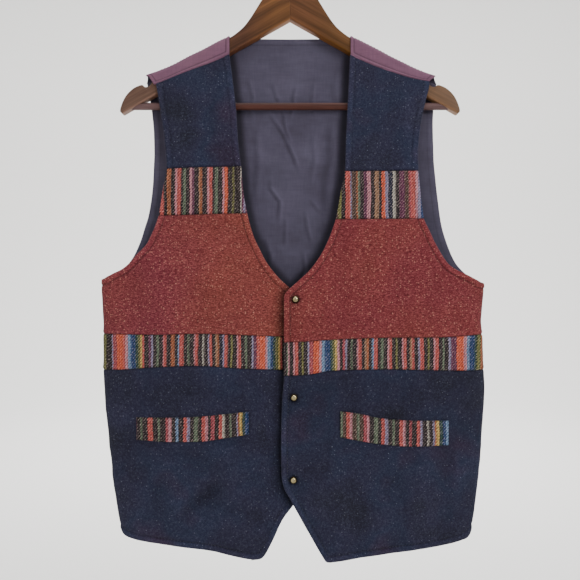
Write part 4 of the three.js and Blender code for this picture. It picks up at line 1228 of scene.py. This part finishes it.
def liningShade(x, drop):
    # The fronts' neck edges stand before the lining, and a painted shadow of them darkens a band of it,
    # and it darkens by the armholes
    count = edgeSteps["seenOnLining"]
    necks = [openEdge(side)[:count] * [side["sign"], 1] for side in (leftSide, rightSide)]
    gap = np.min([nearest(neck, x, drop)[0] for neck in necks], axis=0)
    neckDark, start, fade = liningSet["neckShade"]
    sideDark, sideStart, sideFade = liningSet["sideShade"]
    return neckDark * (1 - ease((gap - start) / fade)) + sideDark * ease((np.abs(x) - sideStart) / sideFade)


def addBack():
    # The back panel, on the back half of the section
    x, drop = backPlace(shares(*backGrid["half"]), chained(backGrid["rows"]))
    made = clothShell("backPanel", backSurface, x, drop, backRelief, borderGap, wall["back"],
                      flipped=True, follow=0.0)
    finished(made, [mauve, bodyLining], "back_panel")
    asCloth(x, drop)


def addLining():
    # The back's lining, a gap under the back panel
    neck = liningGrid["neckShare"]
    half = np.concatenate([
        shares(*liningGrid["neck"])[:-1] * neck, neck + (1 - neck) * shares(*liningGrid["beyond"])])
    x, drop = backPlace(half, chained(liningGrid["rows"]))
    made = clothShell("backLining", backSurface, x, drop, liningRelief, borderGap, wall["lining"],
                      flipped=True, lift=-wall["back"] - liningSet["gap"], follow=1.0,
                      shade=liningShade, hollow=liningForm)
    finished(made, [lining, lining], "back_lining")
    asCloth(x, drop)


addBack()
addLining()


print("stage: shoulder strips")

strip = {
    "round": 5.3, "innerEnd": 78.8,
    # Where its outer end lies at the front seam, along the top, and at its foot behind
    "outerEnd": {"left": (181, 190, 190, 195), "right": (176.5, 187.8, 187.8, 190.6)},
    "endPlaces": (0, 1.6, 2.6, 4),
    "lengths": (17, 8.3, 9.2, 8.3),   # of its front, front bend, top and back bend
    "breadth": 108, "inset": 4.5, "step": 1.6, "edgeHeight": 0.55,
    "topRow": -1.6, "rowPoints": 60,  # where its upper stitches run, and by how many points
}


def stripPoint(side, reach, around):
    # Over an arm of the hanger: 0 is the seam with the yoke, -1 the start of the front bend, -2 and -3
    # the edges of the top, and -4 the foot of the back bend
    bendRadius = strip["round"]
    frontFlat = form["shoulderDepth"]["front"] - bendRadius
    backFlat = form["shoulderDepth"]["back"] - bendRadius
    bend = curveAt(crest, "reach", "drop", reach) + bendRadius
    seam = curveAt(side["stripSeam"], "reach", "drop", reach) - form["seamGap"] / 2
    frontTurn = np.clip(-around - 1, 0, 1) * math.pi / 2
    backTurn = np.clip(-around - 3, 0, 1) * math.pi / 2
    low = np.where(around > -2, np.sin(frontTurn), np.cos(backTurn))
    y = blend(-frontFlat, backFlat, np.clip(-around - 2, 0, 1))
    y = y + bendRadius * (np.sin(backTurn) - np.where(around > -2, np.cos(frontTurn), 0))
    down = np.where(around > -1, blend(seam, bend, -around), bend - bendRadius * low)
    return np.stack(np.broadcast_arrays(side["sign"] * reach, y, -down), -1)


def stripLength(around):
    # How far round the strip a place lies from its front seam, in millimetres
    return sum(length * np.clip(-around - at, 0, 1) for at, length in enumerate(strip["lengths"]))


def stripEnds(side, around):
    # Reach of the strip's outer end, all the way round
    return np.interp(-around, strip["endPlaces"], strip["outerEnd"][side["name"]])


def stripRelief(side):
    # Height of a strip's stitched edges and waves, and the distance from its rim
    total = sum(strip["lengths"])

    def height(reach, around):
        length = stripLength(around)
        sewnEdge = np.minimum(reach - strip["innerEnd"], np.minimum(length, total - length))
        edge = stitchedEdge(sewnEdge, reach, strip["inset"]) * strip["edgeHeight"]
        return edge + waviness(waves[side["name"] + "Strip"], reach, length)

    def rim(reach, around):
        length = stripLength(around)
        gaps = [reach - strip["innerEnd"], stripEnds(side, around) - reach, length, total - length]
        return np.min(np.broadcast_arrays(*gaps), axis=0)

    return height, rim


def addStrip(side):
    # A shoulder strip, from its seam with the yoke over the arm to its foot behind
    surface = lambda reach, around: stripPoint(side, reach, around)
    relief, rim = stripRelief(side)
    rows = [np.linspace(at, at + 1, max(3, round(length / strip["step"])) + 1)[:-1]
            for at, length in enumerate(strip["lengths"])]
    across, up = np.meshgrid(shares(strip["breadth"], strip["step"]), np.append(np.concatenate(rows), 4.0))
    reach = blend(strip["innerEnd"], stripEnds(side, -up), across)
    made = clothShell(side["name"] + "ShoulderStrip", surface, reach, -up, relief, rim, wall["strip"],
                      flipped=side["sign"] < 0, follow=0.0, mirror=side["sign"])
    finished(made, [stripMauve, bodyLining], side["name"] + "_shoulder_strip")
    asCloth(reach, -stripLength(-up))
    return surface, relief


leftStrip = addStrip(leftSide)
rightStrip = addStrip(rightSide)


print("stage: pocket welts")

weltForm = {
    "lift": 2.25, "inset": 2.6, "step": 1.9, "height": 34, "follow": 0.5, "edge": 0.5,
    # painted shade along the welt's edges, where it stands on the skirt
    "shade": (0.45, 1.3),   # along its edges: how dark, and how wide
}


def addWelt(side, surface, frontHeight):
    # A welt laid on the skirt, half of whose form shows through it
    table = side["welt"]
    first, last = table["reach"][0], table["reach"][-1]
    upper = lambda reach: curveAt(table, "reach", "upper", reach)
    lower = lambda reach: curveAt(table, "reach", "lower", reach)

    def gaps(reach, drop):
        # Distance from the nearest edge of the welt
        return np.min([reach - first, last - reach, drop - upper(reach), lower(reach) - drop], axis=0)

    def relief(reach, drop):
        edge = stitchedEdge(gaps(reach, drop), reach, weltForm["inset"])
        return weltForm["follow"] * frontHeight(reach, drop) + weltForm["edge"] * edge

    def shade(reach, drop):
        # Painted shade along the welt's edges
        dark, wide = weltForm["shade"]
        return dark * bell(gaps(reach, drop) / wide)

    step = weltForm["step"]
    across, up = np.meshgrid(shares(last - first, step), shares(weltForm["height"], step))
    reach = blend(first, last, across)
    drop = blend(lower(reach), upper(reach), up)
    made = clothShell(side["name"] + "PocketWelt", surface, reach, drop, relief, gaps, wall["welt"],
                      flipped=side["sign"] < 0, lift=weltForm["lift"], follow=1.0,
                      mirror=side["sign"], shade=shade)
    finished(made, [striped[side["name"] + "Welt"], bodyLining], side["name"] + "_pocket_welt")
    asCloth(reach, drop)


addWelt(leftSide, leftSurface, leftRelief)
addWelt(rightSide, rightSurface, rightRelief)


print("stage: stitching")

stitch = {
    "length": 3.0, "gap": 1.1, "radius": 0.3, "rise": 0.12, "sides": 6,
    "arch": (0.35, 0.9, 1.0, 0.9, 0.35), "dip": 1.3,   # a bead's thickness along it, and how it sinks
    "edgeStart": 162, "holeStart": 205,                # drops at which a front's rows begin
    "bandReach": 150.0, "chestReach": 60.0,            # where its seams' drops are read
    "bandHeight": 62, "fewest": 3,
}


def offsetPath(path, inset):
    # The path moved sideways by inset, to the left of the way it runs as seen with drops downwards
    path = path[np.append(True, np.hypot(*np.diff(path, axis=0).T) > 1e-6)]
    ahead = np.gradient(path, axis=0)
    ahead /= np.linalg.norm(ahead, axis=1, keepdims=True)
    return path + inset * np.stack([ahead[:, 1], -ahead[:, 0]], -1)


def alongPath(path, distance):
    # Spots at given distances along a path, and the path's whole length
    walked = np.append(0, np.cumsum(np.hypot(*np.diff(path, axis=0).T)))
    return np.stack([np.interp(distance, walked, path[:, axis]) for axis in (0, 1)], -1), walked[-1]


def sewRow(surface, relief, path, flipped):
    # Centre, side and up of each stitch at five places along it, following the cloth
    size = alongPath(path, np.zeros(1))[1]
    pitch = stitch["length"] + stitch["gap"]
    middles = np.arange(pitch / 2, size - pitch / 2, pitch)
    spread = np.linspace(-0.5, 0.5, len(stitch["arch"])) * stitch["length"]
    spots = alongPath(path, middles[:, None] + spread)[0]
    a, b = spots[..., 0], spots[..., 1]
    up = normalOf(surface, a, b, flipped)
    centre = surface(a, b) + up * relief(a, b)[..., None]
    ahead = np.gradient(centre, axis=1)
    ahead /= np.linalg.norm(ahead, axis=-1, keepdims=True)
    return centre, np.cross(up, ahead), up


def skinFaces(rings, sides, capFirst=True):
    # Faces of a skin over closed rings of points, with flat ends
    ring, side = np.meshgrid(np.arange(rings - 1), np.arange(sides), indexing="ij")
    first = ring * sides + side
    right = ring * sides + (side + 1) % sides
    quads = np.stack([first, right, right + sides, first + sides], -1).reshape(-1, 4).tolist()
    start = [list(range(sides))[::-1]] if capFirst else []
    return quads + start + [list(range((rings - 1) * sides, rings * sides))]


def addStitches(name, finish, rows):
    # Each stitch is a six-sided bead drawn out along the row, thick in its middle and sunk at its ends
    sides = stitch["sides"]
    arch = np.array(stitch["arch"])
    rise = stitch["rise"] + stitch["radius"] * (arch - 1) * stitch["dip"]
    angle = np.arange(sides) * 2 * math.pi / sides
    points = []
    for centre, aside, up in rows:
        heart = (centre + up * rise[None, :, None])[:, :, None]
        spread = (stitch["radius"] * arch)[None, :, None, None]
        ring = np.cos(angle)[None, None, :, None] * aside[:, :, None]
        ring = ring + np.sin(angle)[None, None, :, None] * up[:, :, None]
        points.append((heart + spread * ring).reshape(-1, 3))
    points = np.concatenate(points) * millimetre
    bead = [face[::-1] for face in skinFaces(len(arch), sides)]
    faces = [[corner + start for corner in face]
             for start in range(0, len(points), len(arch) * sides) for face in bead]
    made = meshObject(name, points, faces)
    made.data.materials.append(finish)
    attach(made, "root")


def frontRows(side, surface, relief):
    # Rows of stitches on a front: red ones on the chest, and blue ones on the skirt and the yoke
    flipped = side["sign"] < 0
    inset = edgeForm["inset"]
    edge = openEdge(side)
    edge = offsetPath(edge[edge[:, 1] > stitch["edgeStart"]], inset)
    hole = armholePath(side, "front")
    hole = offsetPath(hole[hole[:, 1] > stitch["holeStart"]], -inset)
    band = curveAt(side["seams"], "reach", "band", stitch["bandReach"])
    chest = curveAt(side["seams"], "reach", "chest", stitch["chestReach"])
    waist = curveAt(side["seams"], "reach", "waist", stitch["chestReach"])
    red, blue = [], []
    for path in (edge, hole):
        onChest = (path[:, 1] > band) & (path[:, 1] < chest)
        low = path[:, 1] > waist
        high = path[:, 1] < band - stitch["bandHeight"]
        for keep, rows in ((onChest, red), (low, blue), (high, blue)):
            if keep.sum() > stitch["fewest"]:
                rows.append(sewRow(surface, relief, path[keep], flipped))
    return red, blue


def mauveRows():
    # Rows of stitches on the shoulder strips, near the yoke and on top, and round the back
    rows = []
    count = strip["rowPoints"]
    for side, (surface, relief) in ((leftSide, leftStrip), (rightSide, rightStrip)):
        inner = strip["innerEnd"] + strip["inset"]
        outer = strip["outerEnd"][side["name"]][0] - strip["inset"]
        for place in (-strip["inset"] / strip["lengths"][0], strip["topRow"]):
            path = np.stack([np.linspace(inner, outer, count), np.full(count, place)], -1)
            rows.append(sewRow(surface, relief, path, side["sign"] < 0))
    inset = edgeForm["inset"]
    for name, aside in (("neck", -inset), ("hem", inset), ("leftHole", -inset), ("rightHole", inset)):
        rows.append(sewRow(backSurface, backRelief, offsetPath(borders[name], aside), True))
    return rows


leftRed, leftBlue = frontRows(leftSide, leftSurface, leftRelief)
rightRed, rightBlue = frontRows(rightSide, rightSurface, rightRelief)
addStitches("redStitches", redThread, leftRed + rightRed)
addStitches("navyStitches", navyThread, leftBlue + rightBlue)
addStitches("mauveStitches", mauveThread, mauveRows())


print("stage: snaps")

snap = {
    "flange": 4.8, "dome": 3.8, "height": 2.6, "seat": 0.3, "sunk": 0.9, "sides": 40,
    # Its lip from the back: a change of the flange's radius, and a rise
    "lip": [(-0.4, 0), (-0.1, 0.1), (0, 0.55), (-0.15, 1.0), (-0.5, 1.15), (-0.9, 0.95)],
    "domeFoot": 0.45, "domeRings": 9, "domeEnd": 0.97,
    # painted reflection on the dome: darker towards its foot and its lower side, and a little all over
    "foot": 0.42, "lowerSide": 0.34, "plain": 0.08, "darkest": 0.85,   # how dark it is where
}


def wrapped(name, points, capFirst=True):
    # Closed rings of points joined into a skin
    rings, sides = points.shape[:2]
    return meshObject(name, points.reshape(-1, 3) * millimetre, skinFaces(rings, sides, capFirst))


def addSnap(number, spot):
    # A flange with a rounded lip, a narrow groove, and a dome on a quarter of an ellipse. The flange is
    # near black as painted shade of the dent round it, and the dome has a painted reflection that
    # darkens towards its foot and towards its lower side.
    turn = np.linspace(0, snap["domeEnd"], snap["domeRings"]) * math.pi / 2
    lip = np.array(snap["lip"])
    radius = np.concatenate([snap["flange"] + lip[:, 0], snap["dome"] * np.cos(turn)])
    rise = np.concatenate([lip[:, 1] - snap["sunk"], blend(snap["domeFoot"], snap["height"], np.sin(turn))])
    angle = np.arange(snap["sides"]) * 2 * math.pi / snap["sides"]
    centre = leftSurface(np.array(spot["x"], float), np.array(spot["drop"], float))
    x = centre[0] + radius[:, None] * np.cos(angle)
    z = centre[2] + radius[:, None] * np.sin(angle)
    y = centre[1] - snap["seat"] - rise[:, None] + 0 * angle
    made = wrapped("snap%d" % number, np.stack([x, y, z], -1))
    # Painted reflection: the dome darkens towards its foot and its lower side
    spread = radius[:, None] / snap["dome"]
    dim = snap["foot"] * spread ** 2 - snap["lowerSide"] * spread * np.sin(angle) + snap["plain"]
    dim = np.clip(dim, 0, snap["darkest"]).ravel()
    noteTrim(made, 0 * dim, 0 * dim, dim)
    finished(made, [brass, paintedShadeBrass], "snap_%d" % number)
    # The flange's faces take the near-black metal, as painted shade of the dent round the dome
    rim = np.arange(len(made.data.polygons)) < len(lip) * snap["sides"]
    made.data.polygons.foreach_set("material_index", rim.astype(np.int32))


for number, spot in enumerate(snapSpots, 1):
    addSnap(number, spot)


print("stage: hanger")

hanger = {
    # Upper outline of an arm outwards from the middle joint, then its foot: reach and drop
    "outline": [
        (0, 66), (17, 66), (28, 72.5), (37.6, 87.1), (52, 110), (60, 120.5), (69, 128.6), (79, 135.5),
        (105, 148.6), (131, 161.7), (157, 174.9), (166, 181), (175, 188.6), (181, 194.6), (185.2, 199.2),
        (189.6, 199.8), (193, 196.8), (202, 199.8), (208.6, 204.5), (215, 211.8), (220, 222), (222.3, 231),
        (219.2, 234.6),
    ],
    "apexDrop": 111.1, "halfThick": 7, "rounding": 3, "joint": 0.4, "stations": 170,
    "tipLength": 6, "tipSize": 0.45, "cornerPoints": 7, "underLight": 0.9,
    "barDrop": 223.7, "barRadius": 4.7, "barHalf": 213,
    "barEnds": (0, 0.1, 0.3, 0.9, 2), "barLead": 6, "barRows": 90, "barTip": 0.86,
    "hookRadius": 20, "wireRadius": 1.8, "stemFoot": 88, "stemTop": 54, "hookTurn": (-42, 200),
    "lead": (13, 11), "hookRows": (12, 22, 90), "wireTip": 0.35, "wireSides": 20,
}


def endSize(smallest, gone):
    # Size of a rounded end as a share: smallest at its tip, and 1 from where gone reaches 1
    return blend(smallest, 1, np.sqrt(1 - (1 - np.clip(gone, 0, 1)) ** 2))


def tube(name, path, radii, sides=28):
    # A round section carried along a path in the hanger's plane, with flat ends
    ahead = np.gradient(path, axis=0)
    ahead /= np.linalg.norm(ahead, axis=1, keepdims=True)
    forward = np.array([0.0, 1.0, 0.0])
    aside = np.cross(ahead, forward)
    angle = np.arange(sides) * 2 * math.pi / sides
    ring = np.cos(angle)[None, :, None] * forward + np.sin(angle)[None, :, None] * aside[:, None]
    return wrapped(name, path[:, None] + radii[:, None, None] * ring)


def addBar():
    # A round bar between the arms' feet, with its ends rounded off
    half, lead = hanger["barHalf"], hanger["barLead"]
    end = np.array(hanger["barEnds"])
    between = np.linspace(lead - half, half - lead, hanger["barRows"])
    reach = np.concatenate([end - half, between, half - end[::-1]])
    path = np.stack([reach, 0 * reach, 0 * reach - hanger["barDrop"]], -1)
    size = endSize(hanger["barTip"], (half - np.abs(reach)) / end[-1])
    bar = tube("hangerBar", path, hanger["barRadius"] * size)
    finished(bar, [woodBar], "hanger_bar")


def addHook():
    # A straight stem, an easy bend to the side, and most of a circle whose inside top is the origin
    radius = hanger["hookRadius"]
    middle = hanger["wireRadius"] - radius
    low, high = (math.radians(turn) for turn in hanger["hookTurn"])
    stemRows, bendRows, circleRows = hanger["hookRows"]
    turn = np.linspace(low, high, circleRows)
    circle = np.stack([radius * np.cos(turn), middle + radius * np.sin(turn)], -1)
    stem = np.array([0.0, -hanger["stemTop"]])
    t = np.linspace(0, 1, bendRows)[1:-1, None]
    back, up = hanger["lead"]
    lead = circle[0] - back * np.array([-math.sin(low), math.cos(low)])
    bendPart = (1 - t) ** 3 * stem + 3 * (1 - t) ** 2 * t * (stem + [0, up]) + 3 * (1 - t) * t ** 2 * lead
    bendPart = bendPart + t ** 3 * circle[0]
    heights = np.linspace(-hanger["stemFoot"], -hanger["stemTop"], stemRows)
    flat = np.concatenate([np.stack([0 * heights, heights], -1), bendPart, circle])
    path = np.stack([flat[:, 0], 0 * flat[:, 0], flat[:, 1]], -1)
    size = endSize(hanger["wireTip"], np.arange(len(path))[::-1] / 3)
    hook = tube("hangerHook", path, hanger["wireRadius"] * size, hanger["wireSides"])
    finished(hook, [wire], "hanger_hook")


def addArm(name, sign, finish):
    # Sections from the upper outline to the straight underside, each a rectangle with rounded corners,
    # carried from the middle joint to the tip, where they draw in
    upper = np.array(hanger["outline"], float)
    walked = np.append(0, np.cumsum(np.hypot(*np.diff(upper, axis=0).T)))
    share = np.concatenate([[0, 0.0006, 0.0012, 0.002], np.linspace(0.004, 1, hanger["stations"])])
    table = {"walked": walked, "reach": upper[:, 0], "drop": upper[:, 1]}
    place = share * walked[-1]
    top = np.stack([curveAt(table, "walked", column, place) for column in ("reach", "drop")], -1)
    low = blend(np.array([0, hanger["apexDrop"]]), upper[-1], share[:, None])
    width = np.hypot(*(top - low).T)
    across = (top - low) / np.maximum(width, 1e-6)[:, None]
    half = hanger["halfThick"] * endSize(hanger["tipSize"], walked[-1] * (1 - share) / hanger["tipLength"])
    half = half - hanger["joint"] * (1 - np.clip(share * walked[-1] / hanger["joint"], 0, 1))
    corner = np.minimum(hanger["rounding"], np.minimum(width, 2 * half) * 0.45)[:, None]
    count = hanger["cornerPoints"]
    turn = np.radians(np.concatenate([np.linspace(0, 90, count) + 90 * quarter for quarter in range(4)]))
    level = np.repeat([1, -1, -1, 1], count)[None]
    depth = np.repeat([1, 1, -1, -1], count)[None]
    run = level * (width[:, None] / 2 - corner) + corner * np.cos(turn) + width[:, None] / 2
    y = depth * (half[:, None] - corner) + corner * np.sin(turn)
    x = sign * (low[:, :1] + run * across[:, :1])
    z = -(low[:, 1:] + run * across[:, 1:])
    points = np.stack([x, y, z], -1)
    arm = wrapped(name, points if sign > 0 else points[::-1])
    # Painted light on the arm's underside
    under = np.tile(np.clip(-np.cos(turn), 0, 1), len(points))
    noteTrim(arm, 0 * under, 0 * under, -hanger["underLight"] * under)
    finished(arm, [finish], "hanger_%s_arm" % ("left" if sign > 0 else "right"))


addBar()
addHook()
addArm("leftArm", 1, woodLeft)
addArm("rightArm", -1, woodRight)


print("stage: studio")

studio = {
    # A round paper sweep: its flat part, where it stands upright, its height, and its colour
    "floorDrop": 1.1, "flat": 2.6, "upright": 5.2, "height": 5.0, "firstRings": (0.4, 1.5),
    "bendRings": 24, "sides": 96, "paper": "e4e3e1", "paperShade": "dcdad8",
    "camera": (0, -0.757, -0.465), "focalPixels": 575.6, "picturePixels": 580,
    "world": ("e2e2e2", 0.85),
    "lamps": {
        # name: place, aim, half size, watts
        "key": ((1.0, -1.3, 0.3), (0, 0, -0.47), 0.35, 16),
        "fill": ((-1.2, -1.4, -0.1), (0, 0, -0.47), 0.7, 5),
        "top": ((0.1, -0.2, 1.2), (0, 0, -0.47), 0.6, 6),
        "backdrop": ((0, 1.0, 1.6), (0, 4.6, -0.2), 0.9, 260),
        "ground": ((0, -0.2, 2.4), (0, 1.9, -1.1), 0.8, 60),
    },
}


def addFloor():
    # The floor runs out flat and then sweeps up into a round wall, so that no horizon shows
    turn = np.linspace(0, math.pi / 2, studio["bendRings"])
    bend = studio["upright"] - studio["flat"]
    sweep = studio["flat"] + bend * np.sin(turn)
    radius = np.concatenate([studio["firstRings"], sweep, [studio["upright"]]])
    rise = np.concatenate([[0, 0], bend * (1 - np.cos(turn)), [studio["height"]]])
    angle = np.arange(studio["sides"]) * 2 * math.pi / studio["sides"]
    x, y = radius[:, None] * np.cos(angle), radius[:, None] * np.sin(angle)
    points = np.stack([x, y, rise[:, None] - studio["floorDrop"] + 0 * angle], -1) / millimetre
    floor = wrapped("floor", points[::-1], capFirst=False)
    paper = Finish("palePaper", 0.9)
    grain = paper.noise(paper.place(), 3, 2)
    tone = paper.mix(grain * 0.1, hexColour(studio["paper"]), hexColour(studio["paperShade"]))
    floor.data.materials.append(paper.wear(tone))


def addStudio():
    # The floor, an even pale world, five square lamps and the camera of the photograph
    addFloor()

    world = bpy.data.worlds.new("studio")
    bpy.context.scene.world = world
    world.use_nodes = True
    colour, strength = studio["world"]
    background = world.node_tree.nodes["Background"]
    background.inputs[0].default_value = (*hexColour(colour), 1)
    background.inputs[1].default_value = strength

    for name, (place, target, half, watts) in studio["lamps"].items():
        light = bpy.data.lights.new(name, "AREA")
        light.size = 2 * half
        light.energy = watts
        lamp = bpy.data.objects.new(name, light)
        bpy.context.scene.collection.objects.link(lamp)
        lamp.location = place
        aim = np.array(target) - np.array(place)
        lamp.rotation_euler = [math.atan2(math.hypot(aim[0], aim[1]), -aim[2]), 0,
                               math.atan2(aim[0], -aim[1]) + math.pi]

    lens = bpy.data.cameras.new("camera")
    lens.sensor_width = 36
    lens.lens = studio["focalPixels"] / studio["picturePixels"] * lens.sensor_width
    camera = bpy.data.objects.new("camera", lens)
    camera.location = studio["camera"]
    camera.rotation_euler = (math.pi / 2, 0, 0)
    bpy.context.scene.collection.objects.link(camera)
    bpy.context.scene.camera = camera


addStudio()

print("stage: done")
